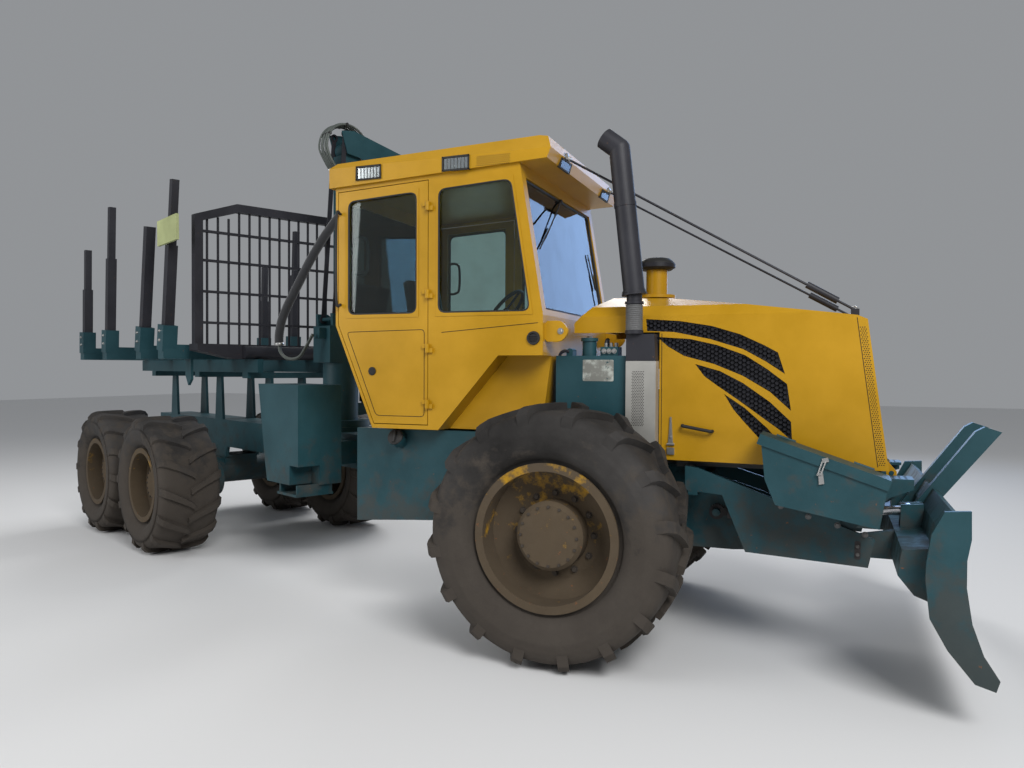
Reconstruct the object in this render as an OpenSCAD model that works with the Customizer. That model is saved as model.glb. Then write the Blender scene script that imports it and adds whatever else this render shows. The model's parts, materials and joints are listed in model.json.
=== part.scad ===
// Articulated six-wheel forestry forwarder with front blade, log bunk and loading crane.
// Frame: origin on the ground under the middle of the front axle, +X forward, +Y left, +Z up, millimetres.
// The rear frame is drawn as if the machine stood straight, then turned about the centre joint.

/* [Stance] */
// Angle of the rear frame about the centre joint, as parked
steer_rest = -25; // [-30:1:30]
// Distance from the front axle back to the centre joint
pivot_back = 1310; // [1290:10:1340]
// Distance from the front axle back to the middle of the bogie
bogie_back = 5180; // [5100:10:5260]
// Distance between the two axles of the bogie
bogie_pitch = 1420; // [1400:10:1500]

/* [Wheels] */
// Radius of the front tyre at the lug tips
front_tyre_r = 815; // [790:5:825]
// Width of the front tyre
front_tyre_w = 650; // [600:10:670]
// Radius of the front rim seat
front_bead_r = 430; // [410:5:440]
// Distance from the centre line to the middle of a front wheel
front_track_half = 1025; // [1020:5:1060]
// Radius of the rear tyre at the lug tips
rear_tyre_r = 675; // [650:5:680]
// Width of the rear tyre
rear_tyre_w = 600; // [560:10:620]
// Radius of the rear rim seat
rear_bead_r = 337; // [320:1:345]
// Distance from the centre line to the middle of a rear wheel
rear_track_half = 1040; // [1040:5:1080]
// Height of a tread lug
lug_h = 42; // [30:1:50]
// Radius of the front planetary hub
front_hub_r = 215; // [200:5:225]
// Radius of the rear planetary hub
rear_hub_r = 170; // [160:5:180]
// Radius of the wheel spindles
spindle_r = 85; // [75:5:95]

/* [Front frame] */
// Half width of the engine bay between its side plates, to their outside
bay_half = 330; // [310:5:335]
// Thickness of the welded frame plates
plate_t = 30; // [20:1:35]
// Half width to the outside of the nose plates
nose_half = 600; // [580:5:610]
// Radius of the centre joint pins
joint_pin_r = 60; // [50:1:65]
// Radius of the front axle tube
axle_r = 130; // [110:5:140]
// Radius of the bogie axle tube
bogie_axle_r = 150; // [130:5:160]

/* [Cab] */
// Half width of the cab
cab_half = 840; // [820:5:850]
// Thickness of the cab walls and doors
cab_wall = 40; // [30:1:45]
// Gap round a door
door_gap = 6; // [5:0.5:8]
// Thickness of the window glass
glass_t = 8; // [6:1:10]

/* [Hood] */
// Half width of the hood
hood_half = 590; // [570:5:600]
// Thickness of the hood skin
hood_wall = 25; // [15:1:30]

/* [Exhaust and intake] */
// Radius of the exhaust stack
stack_r = 70; // [62:1:74]
// Radius of the intake tube
intake_r = 75; // [65:1:80]

/* [Blade] */
// Half width of the blade
blade_half = 1250; // [1200:10:1300]
// Radius of the blade cylinders
blade_cyl_r = 50; // [45:1:55]

/* [Bunk] */
// Distance from the front axle back to the headboard
headboard_back = 3950; // [3900:10:4000]
// Half width of the headboard
headboard_half = 1000; // [960:10:1020]
// Width of a stake
stake_w = 90; // [80:5:100]
// Distance from the centre line to the middle of a stake
stake_half = 1130; // [1120:5:1160]
// Height of the bunk floor
bunk_z = 2060; // [2040:5:2080]

/* [Crane] */
// Distance from the front axle back to the slewing axis
column_back = 2900; // [2880:5:2920]
// Height of the shoulder pin
shoulder_z = 2150; // [2140:5:2170]
// Length of the main boom between its pins
main_boom_l = 1750; // [1720:5:1770]
// Length of the outer boom from the knuckle to its mouth
outer_boom_l = 1330; // [1300:5:1360]
// Distance between the folded booms
boom_fold = 580; // [570:5:600]
// Radius of the crane column
column_r = 165; // [150:5:170]

/* [Hidden] */
$fn = 48;
seat_gap = 0.3;
run_gap = 0.3;
cut = 1;

green = [0.04, 0.24, 0.27];
yellow = [0.95, 0.66, 0.02];
black = [0.08, 0.08, 0.10];
rubber_black = [0.16, 0.14, 0.13];
grey = [0.45, 0.46, 0.46];
steel = [0.6, 0.6, 0.62];
pale = [0.72, 0.7, 0.42];
glass_tint = [0.5, 0.65, 0.7, 0.4];

// Mirrors a piece to both sides of the centre line
module both_sides() {
  children();
  mirror([0, 1, 0]) children();
}

// Turns a piece of the rear unit about the centre joint
module at_rear() {
  translate([-pivot_back, 0, 0]) rotate([0, 0, steer_rest]) translate([pivot_back, 0, 0]) children();
}

// A cylinder along Y with its near end at y
module y_rod(x, y, z, r, l) {
  translate([x, y, z]) rotate([-90, 0, 0]) cylinder(r = r, h = l);
}

// A plate cut from an outline in X and Z, from y0 to y1
module xz_plate(outline, y0, y1) {
  translate([0, y1, 0]) rotate([90, 0, 0]) linear_extrude(y1 - y0) polygon(outline);
}

// Box between two corners
module block(a, b) {
  translate(a) cube(b - a);
}

// Wheels

// Tyre about the Y axis with staggered lugs on both shoulders. Each row across it holds
// [radius between lugs, radius on a lug, distance along Y, turn in steps, phase in steps]
module tyre(r_tip, r_bead, w, lugs) {
  steps = 4 * lugs;
  bead = r_bead / cos(180 / steps);
  half = [[bead, bead, 0.36 * w, 0, 0], [r_bead + 130, r_bead + 130, 0.5 * w, 0, 0],
    [r_tip - lug_h - 45, r_tip - lug_h + 5, 0.485 * w, 0, 0], [r_tip - lug_h, r_tip, 0.4 * w, 1, 0]];
  rows = concat([for (h = half) [h[0], h[1], -h[2], h[3], 0]],
    [for (i = [3:-1:0]) [half[i][0], half[i][1], half[i][2], half[i][3], 2]]);
  n = len(rows);
  spots = [for (row = rows) for (i = [0:steps - 1]) let (
    lug = (i + row[4]) % 4 < 2,
    a = (i + row[3]) * 360 / steps,
    r = lug ? row[1] : row[0]) [r * cos(a), row[2], r * sin(a)]];
  faces = [for (j = [0:n - 1]) for (i = [0:steps - 1]) let (
    p = j * steps + i,
    q = j * steps + (i + 1) % steps,
    next = (j + 1) % n * steps,
    u = next + (i + 1) % steps,
    v = next + i) each [[p, q, u], [p, u, v]]];
  color(rubber_black) polyhedron(spots, faces);
}

// Rim, disc and planetary hub about the Y axis, outside towards -Y
module rim(r_bead, w, disc_r, hub_r, hub_out) {
  seat_r = r_bead - seat_gap;
  bed_t = 22;
  lip_in = 0.395 * w + seat_gap;
  lip_out = lip_in + 18;
  lip_r = r_bead + 28;
  disc_y = 0.06 * w;
  disc_t = 24;
  ring = [[seat_r, -lip_in], [lip_r, -lip_in], [lip_r, -lip_out], [seat_r - bed_t, -lip_out],
    [seat_r - bed_t, -disc_y - disc_t - 40], [disc_r, -disc_y - disc_t], [hub_r - 10, -disc_y - disc_t],
    [hub_r - 10, -disc_y], [disc_r + 12, -disc_y], [seat_r - bed_t, -disc_y - 30],
      [seat_r - bed_t, lip_out],
    [lip_r, lip_out], [lip_r, lip_in], [seat_r, lip_in]];
  cap = [[0, hub_out], [hub_r - 25, hub_out], [hub_r, hub_out - 25], [hub_r, -60],
    [spindle_r + 45, -60], [spindle_r + 45, -140], [spindle_r + run_gap, -140],
      [spindle_r + run_gap, 60], [0, 60]];
  color(yellow) rotate([90, 0, 0]) rotate_extrude($fn = 72) polygon([for (p = ring) [p[0], -p[1]]]);
  color(grey) rotate([90, 0, 0]) rotate_extrude($fn = 72) polygon(cap);
}

module front_wheel_place(side) translate([0, side * front_track_half, front_tyre_r]) children();
module rear_wheel_place(side, end)
  at_rear() translate([-bogie_back + end * bogie_pitch / 2, side * rear_track_half,
    rear_tyre_r]) children();
module outward(side) {
  if (side < 0) children();
  else mirror([0, 1, 0]) children();
}

module tyre_front(side) front_wheel_place(side) tyre(front_tyre_r, front_bead_r, front_tyre_w, 16);
module rim_front(side) front_wheel_place(side) outward(side)
  rim(front_bead_r, front_tyre_w, 290, front_hub_r, 205);
module tyre_rear(side, end) rear_wheel_place(side, end) tyre(rear_tyre_r, rear_bead_r, rear_tyre_w, 14);
module rim_rear(side, end) rear_wheel_place(side, end) outward(side)
  rim(rear_bead_r, rear_tyre_w, 250, rear_hub_r, 150);

// Front unit

step_z = 1195;
cab_floor = 1410;
lug_out = 340;
saddle_z = front_tyre_r + axle_r + seat_gap;
joint_top_z = 1120;
joint_low_z = 640;
joint_plate = 40;
tongue_half = 100;
bay_top = 1180;
bay_outline = [[-950, 620], [-950, 1130], [-500, bay_top], [720, bay_top], [1000, 1100], [1640, 900],
  [1640, 700],
  [1000, 640], [300, 640], [180, saddle_z], [-180, saddle_z], [-300, 640]];
nose_outline = [[720, 1215], [800, 1205], [1290, 1030], [1290, 1190], [1620, 1190], [1660, 895],
  [1851, 826], [1814, 654],
  [1101, 688], [955, 1040], [720, 1060]];
blade_pin = [1680, 760];
blade_pin_r = 30;
arm_half = 520;

module front_frame() {
  color(green) difference() {
    union() {
      both_sides() {
        xz_plate(bay_outline, bay_half - plate_t, bay_half);
        xz_plate(nose_outline, nose_half - plate_t, nose_half);
      }
      // cross plates tie the side plates together
      block([-950, -bay_half, 640], [-920, bay_half, 1130]);
      block([-500, -bay_half, 1110], [-440, bay_half, 1150]);
      block([600, -bay_half, 1080], [660, bay_half, 1120]);
      block([740, -nose_half, 1030], [800, nose_half, 1100]);
      block([1150, -nose_half, 690], [1500, nose_half, 720]);
      // clevis plates of the centre joint
      for (z = [joint_low_z, joint_top_z - joint_plate]) translate([0, 0, z]) linear_extrude(joint_plate) {
        translate([-pivot_back, 0]) circle(r = 150);
        polygon([[-pivot_back, -150], [-920, -bay_half], [-920, bay_half], [-pivot_back, 150]]);
      }
      // saddle over the front axle
      both_sides() block([-180, 120, saddle_z], [180, bay_half, saddle_z + 20]);
      // cab mounts
      both_sides() for (x = [-900, -520]) block([x, bay_half - 60, 1100],
        [x + 90, bay_half, cab_floor - seat_gap]);
      // front step beside the hood
      both_sides() {
        block([1930, 400, step_z - 20], [2060, 575, step_z]);
        xz_plate([[1640, 860], [1640, 1000], [1870, step_z - 19], [2059, step_z - 19], [2059, step_z - 60],
          [1930, 1080], [1720, 860]], 545, 575);
      }
      // hinge lugs of the hood
      both_sides() xz_plate([[1560, 870], [1640, 860], [hood_hinge[0] + 22, step_z - 150],
        [hood_hinge[0] + 22, hood_hinge[1] + 22], [hood_hinge[0] - 22, hood_hinge[1] + 22],
        [hood_hinge[0] - 22, step_z - 100], [1560, 930]], bay_half - plate_t, lug_out);
    }
    both_sides() y_rod(blade_pin[0], arm_half, blade_pin[1], blade_pin_r, nose_half);
  }
  // centre joint pin and blade pins
  color(steel) {
    both_sides() y_rod(hood_hinge[0], bay_half - plate_t, hood_hinge[1],
      hood_pin_r, lug_out + 25 - bay_half + plate_t);
    translate([-pivot_back, 0, joint_low_z - 20])
      cylinder(r = joint_pin_r, h = joint_top_z - joint_low_z + 40);
    both_sides() y_rod(blade_pin[0], arm_half - 62, blade_pin[1], blade_pin_r, nose_half - arm_half + 62);
    both_sides() y_rod(blade_barrel_pin[0], bay_half - cut, blade_barrel_pin[1], 25, 130);
  }
}

module front_axle() {
  hub_in = front_track_half - 145;
  color(green) {
    y_rod(0, -hub_in, front_tyre_r, axle_r, 2 * hub_in);
    translate([0, 0, front_tyre_r]) intersection() {
      sphere(r = 240, $fn = 64);
      block([-240, -200, -240], [240, 200, axle_r - cut]);
    }
    both_sides() y_rod(0, hub_in - 90, front_tyre_r, 185, 90);
    both_sides() y_rod(0, hub_in, front_tyre_r, spindle_r, 130);
    // pad under the frame saddle
    block([-150, -200, front_tyre_r], [150, 200, saddle_z - seat_gap]);
  }
}

module engine_block() {
  color(grey) {
    block([600, -280, bay_top + 2], [1560, 280, 1900]);
    // rear mounts on the frame plates
    both_sides() block([620, 270, bay_top + seat_gap], [700, 340, bay_top + 45]);
    block([300, -200, bay_top + 2], [600 + cut, 200, 1700]);
  }
}

hood_side = [[545, 1250], [1922, 1240], [1796, 2150], [1741, 2175], [560, 2330], [150, 2345],
  [-40, 2150], [-40, 2085],
  [545, 2085]];
hood_front = [[-hood_half, 1200], [hood_half, 1200], [hood_half, 2195], [hood_half - 60, 2262],
  [hood_half - 330, 2345], [-hood_half + 330, 2345], [-hood_half + 60, 2262], [-hood_half, 2195]];

// Solid of the hood shape, drawn in by a wall thickness
module hood_form(inset) {
  intersection() {
    xz_plate_offset(hood_side, inset, hood_half - inset);
    translate([-60, 0, 0]) rotate([90, 0, 90])
      linear_extrude(2000) offset(delta = -inset) polygon(hood_front);
  }
}

module xz_plate_offset(outline, inset, half) {
  translate([0, half, 0]) rotate([90, 0, 0])
    linear_extrude(2 * half) offset(delta = -inset) polygon(outline);
}

// The four swept vents of a side, each as its upper edge and then its lower edge, front to rear
vents = [
  [[453, 2173], [677, 2156], [881, 2121], [1055, 2067], [1201, 1997], [1285, 1950],
    [1328, 1816], [1208, 1897], [1074, 1972], [869, 2037], [638, 2085], [461, 2094]],
  [[527, 2054], [742, 2039], [913, 1999], [1087, 1934], [1221, 1847], [1341, 1754],
    [1366, 1587], [1240, 1703], [1076, 1802], [896, 1877], [705, 1929], [600, 1990]],
  [[776, 1877], [934, 1832], [1077, 1757], [1241, 1640], [1367, 1519],
    [1374, 1401], [1290, 1473], [1182, 1551], [1047, 1649], [910, 1743], [833, 1800]],
  [[960, 1686], [1090, 1599], [1225, 1477], [1279, 1416], [1208, 1376], [1079, 1517], [1017, 1590]]];
hood_hinge = [1950, 1205];
hood_pin_r = 14;

module vents_cut(y0, y1) {
  for (v = vents) xz_plate(v, y0, y1);
}

module hood() {
  color(yellow) difference() {
    union() {
      difference() {
        hood_form(0);
        hood_form(hood_wall);
      }
      // hinge arms at the nose
      both_sides() xz_plate([[1875, 1262], [1886, 1308], [1903, 1308], [hood_hinge[0] + 30, 1215],
        [hood_hinge[0] + 30, 1180], [hood_hinge[0] - 30, 1180], [hood_hinge[0] - 30, 1225]],
          lug_out + 6, lug_out + 21);
    }
    // open underneath and at the back
    block([545 - cut, -hood_half + hood_wall, 1200], [1850, hood_half - hood_wall, 1300]);
    block([545 - cut, -hood_half + hood_wall, 1250], [600, hood_half - hood_wall, 2110]);
    both_sides() y_rod(hood_hinge[0], lug_out, hood_hinge[1], hood_pin_r + run_gap, 40);
    block([-100, -hood_half + hood_wall, 2000], [600, hood_half - hood_wall, 2120]);
    both_sides() vents_cut(hood_half - hood_wall - cut, hood_half + cut);
    // grille opening in the nose
    block([1700, -440, 1330], [2000, 440, 2060]);
    // seat of the intake tube
    translate([intake_at[0], intake_at[1], 2200]) cylinder(r = intake_r + seat_gap, h = 300);
  }
}

module hood_mesh() {
  plate = 8;
  y_in = hood_half - hood_wall - seat_gap - plate;
  color(black) {
    both_sides() for (v = vents) translate([0, hood_half - hood_wall + 12, 0]) rotate([90, 0, 0])
      linear_extrude(20 + seat_gap) offset(delta = -seat_gap) polygon(v);
    both_sides() xz_plate([[430, 2040], [430, 2180], [700, 2170], [1000, 2110], [1300, 1990],
      [1420, 1780], [1420, 1350],
      [940, 1350], [760, 1700]], y_in, y_in + plate);
    intersection() {
      difference() {
        hood_form(hood_wall + seat_gap);
        hood_form(hood_wall + seat_gap + plate);
      }
      block([1650, -460, 1310], [2000, 460, 2080]);
    }
  }
}

stack_foot = [395, -678, 2325];
stack_top = [288, -678, 3282];
intake_at = [430, -130, 2345];
guard_low = 1300;
guard_high = 2070;
guard_rear = 345 + seat_gap;
guard_out = -694;
guard_in = -596;

module exhaust() {
  lean = atan2(stack_foot[0] - stack_top[0], stack_top[2] - stack_foot[2]);
  length = norm(stack_top - stack_foot);
  bend = 52;
  mouth = 130;
  color(black) {
    translate([0, guard_out, 0]) rotate([90, 0, 0]) mirror([0, 0, 1]) linear_extrude(guard_in - guard_out)
      polygon([[guard_rear, guard_high - 170], [540, guard_high - 170], [530, guard_high],
        [guard_rear, guard_high]]);
    translate([stack_foot[0], stack_foot[1], guard_high - 2])
      cylinder(r = 50, h = stack_foot[2] - guard_high + 20);
    // stack with a mouth bent to the rear
    difference() {
      union() {
        translate(stack_foot) rotate([0, -lean, 0]) {
          cylinder(r = stack_r, h = length);
          cylinder(r = stack_r + 6, h = 30);
        }
        translate(stack_top) sphere(r = stack_r);
        translate(stack_top) rotate([0, -bend, 0]) cylinder(r = stack_r, h = mouth);
      }
      translate(stack_foot) rotate([0, -lean, 0]) translate([0, 0, 60])
        cylinder(r = stack_r - 8, h = length - 60);
      translate(stack_top) sphere(r = stack_r - 8);
      translate(stack_top) rotate([0, -bend, 0]) cylinder(r = stack_r - 8, h = mouth + cut);
    }
  }
  color(grey) difference() {
    block([guard_rear, guard_out, guard_low], [540, guard_in, guard_high - 170]);
    block([guard_rear + 15, guard_out + 12, guard_low - cut], [525, guard_in - 12, guard_high - 190]);
  }
}

module air_intake() {
  color(yellow) {
    translate(intake_at - [0, 0, 500]) cylinder(r = intake_r, h = 700);
    translate(intake_at + [0, 0, seat_gap]) cylinder(r = 132, h = 22);
  }
  color(black) translate(intake_at + [0, 0, 200]) rotate_extrude($fn = 64)
    polygon([[0, 0], [100, 0], [125, 18], [125, 45], [90, 80], [0, 92]]);
}

tank_top = 1930;
module hydraulic_tank() {
  color(green) block([-150, -650, bay_top + seat_gap], [345, -250, tank_top]);
  // return filter with its cap, and a valve block beside it
  color(grey) {
    translate([60, -560, tank_top - cut]) cylinder(r = 48, h = 110);
    translate([60, -560, tank_top + 100]) cylinder(r = 58, h = 22);
    block([150, -610, tank_top - cut], [270, -500, tank_top + 60]);
    y_rod(-70, -600, tank_top + 30, 22, 90);
    block([-92, -600, tank_top - cut], [-48, -510, tank_top + 30]);
  }
}

// Side tank seen from above, cut back where the rear frame swings past
side_tank_plan = [[-1500, bay_half + seat_gap], [-1700, 690], [-640, 690], [-640, bay_half + seat_gap]];
module side_tanks() {
  filler = [-1330, 650, 1290];
  color(green) both_sides() {
    intersection() {
      translate([0, 0, 700]) linear_extrude(695) polygon(side_tank_plan);
      xz_plate([[-1720, 700], [-1720, 1395], [-630, 1395], [-630, 770], [-1230, 735]], 300, 700);
    }
    // filler neck turned down to the outside
    translate(filler) rotate([-65, 0, 0]) {
      cylinder(r = 52, h = 110);
      translate([0, 0, 80]) cylinder(r = 66, h = 45, $fn = 8);
    }
    // step below the tank's rear corner
    block([-1700, 560, 740], [-1640, 688, 790]);
  }
}

box_back = [1210, 1437];
box_front = [1905, 1202];
box_outline = [box_back, box_front, [1860, 939], [1295, 1043], [1235, 1190]];
box_in = nose_half + seat_gap;
box_out = 880;
box_wall = 8;
lid_t = 22;
lid_angle = atan2(box_back[1] - box_front[1], box_front[0] - box_back[0]);
lid_len = norm(box_front - box_back);
// hinge axis of a lid, as [distance from the centre line, height over the box rim]
lid_axis = [box_in + 12, seat_gap + lid_t];
lid_hinges = [70, 540];

module tool_boxes() {
  color(green) both_sides() difference() {
    xz_plate(box_outline, box_in, box_out);
    translate([0, box_out - box_wall, 0]) rotate([90, 0, 0])
      linear_extrude(box_out - box_in - 2 * box_wall) union() {
      offset(delta = -box_wall) polygon(box_outline);
      polygon([box_back + [18, -20], box_back + [35, 30], box_front + [0, 28], box_front + [-15, -9]]);
    }
  }
  color(steel) both_sides() on_slope() for (x = lid_hinges) {
    block([x, box_in, -20], [x + 60, box_in + box_wall, lid_axis[1]]);
    translate([x, lid_axis[0], lid_axis[1]]) rotate([0, 90, 0]) cylinder(r = 9, h = 60);
    translate([x, lid_axis[0], lid_axis[1]]) rotate([0, 90, 0]) cylinder(r = 4, h = 120);
  }
}

module on_slope() translate([box_back[0], 0, box_back[1]]) rotate([0, lid_angle, 0]) children();

module box_lid(side) {
  color(green) mirror([0, side > 0 ? 0 : 1, 0]) on_slope() difference() {
    union() {
      block([-10, box_in + 26, seat_gap], [lid_len + 10, box_out + 12, seat_gap + lid_t]);
      block([-10, box_out + 6, -40], [lid_len + 10, box_out + 12, seat_gap + cut]);
      for (x = lid_hinges) {
        translate([x + 60 + run_gap, lid_axis[0], lid_axis[1]]) rotate([0, 90, 0]) cylinder(r = 9, h = 58);
        block([x + 60 + run_gap, lid_axis[0], lid_axis[1] - 8], [x + 118, box_in + 30, lid_axis[1]]);
      }
    }
    translate([-50, lid_axis[0], lid_axis[1]]) rotate([0, 90, 0])
      cylinder(r = 4 + run_gap, h = lid_len + 100);
  }
}

// Cab

cab_outline = [[-1790, 3150], [-1790, 2150], [-1480, cab_floor], [-950, cab_floor], [-500, 1930],
  [-180, 1930],
  [-180, 2200], [-350, 3215]];
door_front_x = -1035;
door_outline = [[-1765, 3115], [-1765, 2155], [-1465, 1445], [door_front_x, 1445], [door_front_x, 3150]];
rear_pane = [[-1690, 3060], [-1690, 2215], [-1115, 2215], [-1115, 3090]];
front_pane = [[-960, 3095], [-960, 2215], [-262, 2215], [-405, 3125]];
hinge_at = [-1029, 858];
hinge_r = 15;
hinge_pin_r = 7;
hinge_z = [1560, 1950, 2330, 2940];
hinge_l = 60;
function cab_top(x) = 3150 + (x + 1790) * 65 / 1440 + seat_gap;
roof_outline = [[-1830, cab_top(-1830)], [-1830, 3290], [-1780, 3330], [-235, 3402], [-171, 3388],
  [-122, 3290], [-150, cab_top(-150)]];
roof_half = cab_half + 25;

// Narrower foot under the front of the cab, and its inside
foot_outline = [[-950, cab_floor], [-500, 1930], [-180, 1930], [-230, 1560], [-420, cab_floor]];
foot_room = [[-935, 1450], [-480, 1972], [-222, 1972], [-268, 1580], [-435, 1450]];
foot_half = 660;

module cab_foot() {
  color(yellow) difference() {
    xz_plate(foot_outline, -foot_half, foot_half);
    xz_plate(foot_room, -foot_half + cab_wall, foot_half - cab_wall);
    xz_plate([[-1100, cab_floor - 1], [-949, cab_floor - 1], [-950 + 1.3 * seat_gap, cab_floor - 1],
      [-500 + 1.3 * seat_gap, 1930 - seat_gap], [-100, 1930 - seat_gap], [-100, 2000], [-1100, 2000]],
        -foot_half - cut, foot_half + cut);
  }
}

module cab_shell() {
  color(yellow) difference() {
    xz_plate(cab_outline, -cab_half, cab_half);
    xz_plate_offset(cab_outline, cab_wall, cab_half - cab_wall);
    xz_plate(foot_room, -foot_half + cab_wall, foot_half - cab_wall);
    both_sides() {
      translate([0, cab_half + cut, 0]) rotate([90, 0, 0]) linear_extrude(cab_wall + 2 * cut)
        offset(delta = door_gap) polygon(door_outline);
      xz_plate(front_pane, cab_half - cab_wall - cut, cab_half + cut);
    }
    // open top under the roof, windscreen and rear window
    block([-1750, -cab_half + cab_wall, 3050], [-390, cab_half - cab_wall, 3300]);
    block([-420, -760, 2240], [-100, 760, 3130]);
    block([-1850, -700, 2240], [-1700, 700, 3060]);
  }
  color(steel) both_sides() for (z = hinge_z) {
    translate([hinge_at[0], hinge_at[1], z]) difference() {
      union() {
        cylinder(r = hinge_r, h = hinge_l / 2);
        block([0, -hinge_at[1] + cab_half - cut, 0], [40, 0, hinge_l / 2]);
        cylinder(r = hinge_pin_r, h = hinge_l);
      }
    }
  }
}

module cab_roof() {
  color(yellow) intersection() {
    xz_plate(roof_outline, -roof_half, roof_half);
    translate([-1900, 0, 0]) rotate([90, 0, 90]) linear_extrude(2000)
      polygon([[-roof_half, 3100], [roof_half, 3100], [roof_half, 3290], [roof_half - 110, 3420],
        [-roof_half + 110, 3420], [-roof_half, 3290]]);
  }
}

// A glass pane in the side wall
module side_pane(outline) {
  y_mid = cab_half - cab_wall / 2;
  translate([0, y_mid + glass_t / 2, 0]) rotate([90, 0, 0]) linear_extrude(glass_t)
    offset(delta = -seat_gap) polygon(outline);
}

screen_lean = atan2(170, 1015);
module cab_glass() {
  color(glass_tint) {
    both_sides() side_pane(front_pane);
    translate([-180, 0, 2200]) rotate([0, -screen_lean, 0])
      block([-28, -760 + seat_gap, 46], [-20, 760 - seat_gap, 942]);
    block([-1775, -700 + seat_gap, 2240 + seat_gap], [-1767, 700 - seat_gap, 3060 - seat_gap]);
  }
}

module door(side) {
  color(yellow) mirror([0, side > 0 ? 0 : 1, 0]) difference() {
    union() {
      xz_plate(door_outline, cab_half - cab_wall, cab_half);
      for (z = hinge_z) translate([hinge_at[0], hinge_at[1], z + hinge_l / 2 + run_gap]) {
        cylinder(r = hinge_r, h = hinge_l / 2);
        block([-40, -hinge_at[1] + cab_half - cut, 0], [0, 0, hinge_l / 2]);
      }
    }
    xz_plate(rear_pane, cab_half - cab_wall - cut, cab_half + cut);
    translate([hinge_at[0], hinge_at[1], 1400]) cylinder(r = hinge_pin_r + run_gap, h = 2000);
  }
}

module door_glass(side) {
  color(glass_tint) mirror([0, side > 0 ? 0 : 1, 0]) side_pane(rear_pane);
}

module seat() {
  color(black) {
    translate([-1150, 0, 1450 + seat_gap]) cylinder(r = 120, h = 300);
    block([-1420, -250, 1745], [-900, 250, 1860]);
    translate([-1350, 0, 1800]) rotate([0, -10, 0]) block([-110, -240, 0], [0, 240, 760]);
    both_sides() block([-1300, 262, 1960], [-950, 330, 2010]);
    both_sides() block([-1330, 240, 1800], [-1290, 300, 1990]);
  }
}

dash_front = -220 - seat_gap;
module console() {
  color(black) {
    xz_plate([[-560, 1975], [-700, 2180], [-620, 2230], [-240, 2200], [dash_front, 2185],
      [dash_front, 1975]], -420, 420);
    translate([-660, 0, 2190]) rotate([0, -50, 0]) {
      cylinder(r = 22, h = 178);
      translate([0, 0, 165]) rotate_extrude($fn = 48) translate([190, 0]) circle(r = 14, $fn = 24);
      translate([0, 0, 160]) for (a = [0, 120, 240]) rotate([0, 0, a]) block([0, -13, 0], [186, 13, 10]);
    }
  }
}

cable_roof = [-119.4, 560, 3290];
cable_nose = [1740, 360, 2215];
module cable(a, b, r) {
  d = b - a;
  translate(a) rotate([0, acos(d[2] / norm(d)), atan2(d[1], d[0])]) cylinder(r = r, h = norm(d), $fn = 16);
}
module branch_cables() {
  color(black) both_sides() {
    cable(cable_roof, cable_nose, 8);
    block([1705, 348, 2180.3], [1755, 372, 2228]);
    cable(cable_nose + (cable_roof - cable_nose) * 0.06, cable_nose + (cable_roof - cable_nose) * 0.16, 22);
  }
}

// Blade

blade_barrel_pin = [900, 900];
blade_rod_pin = [2045, 985];
blade_profile = [[2190, 1110], [2130, 1010], [2105, 850], [2115, 680], [2160, 500], [2245, 350],
  [2355, 238],
  [2385, 262], [2285, 375], [2203, 515], [2158, 690], [2148, 850], [2170, 990], [2225, 1090]];
blade_cheek = [[2265, 1130], [2144, 1121], [2085, 1000], [2062, 850], [2060, 760], [2083, 560], [2165, 410],
  [2290, 255], [2385, 228], [2402, 285], [2330, 400], [2275, 560], [2248, 740], [2248, 880], [2267, 988]];

module blade() {
  color(green) difference() {
    union() {
      xz_plate(blade_profile, -blade_half, blade_half);
      both_sides() xz_plate(blade_cheek, blade_half - plate_t, blade_half);
      // box beam behind the plate
      xz_plate([[1960, 880], [2125, 900], [2125, 600], [2020, 640], [1940, 740]],
        -blade_half + 150, blade_half - 150);
      // push arms with eyes
      both_sides() xz_plate([[1680, 820], [1990, 880], [1990, 700], [1680, 700]],
        arm_half - 60, arm_half - 2);
      both_sides() y_rod(blade_pin[0], arm_half - 60, blade_pin[1], 70, 58);
      // rod ears
      for (y = [345, 425]) both_sides() xz_plate([[2125, 1035], [2000, 1025], [1998, 940], [1995, 885],
        [2125, 885]], y, y + 20);
      // log guards
      for (y = [-260, 200]) xz_plate([[1985, 860], [2110, 880], [2560, 1470], [2470, 1500],
        [2420, 1470]], y, y + 60);
    }
    both_sides() y_rod(blade_pin[0], arm_half - 62, blade_pin[1], blade_pin_r + run_gap, 62);
  }
  // stub pins that stop short of the rod eyes
  color(steel) both_sides() {
    y_rod(blade_rod_pin[0], 345, blade_rod_pin[1], 22, 24);
    y_rod(blade_rod_pin[0], 421, blade_rod_pin[1], 22, 24);
  }
}

// Barrel of a cylinder from the origin along +X, with an eye across Y at the origin
module ram_barrel(r, l, pin_r, eye_w) {
  difference() {
    union() {
      rotate([0, 90, 0]) translate([0, 0, 66]) cylinder(r = r, h = l - 66);
      translate([0, -eye_w / 2, 0]) rotate([-90, 0, 0]) cylinder(r = pin_r + 25, h = eye_w);
      block([0, -eye_w / 2, -pin_r], [70, eye_w / 2, pin_r]);
    }
    translate([0, -eye_w / 2 - cut, 0]) rotate([-90, 0, 0])
      cylinder(r = pin_r + run_gap, h = eye_w + 2 * cut);
    rotate([0, 90, 0]) translate([0, 0, 100]) cylinder(r = r * 0.55 + run_gap, h = l);
  }
}

// Rod of a cylinder whose eye is at far, inside a barrel that starts at the origin
module ram_rod(r, start, far, eye_r, eye_w) {
  rotate([0, 90, 0]) translate([0, 0, start]) cylinder(r = r * 0.55, h = far - start - eye_r + 6);
  translate([far, -eye_w / 2, 0]) rotate([-90, 0, 0]) difference() {
    cylinder(r = eye_r, h = eye_w);
    translate([0, 0, -cut]) cylinder(r = eye_r * 0.5, h = eye_w + 2 * cut);
  }
}

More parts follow.
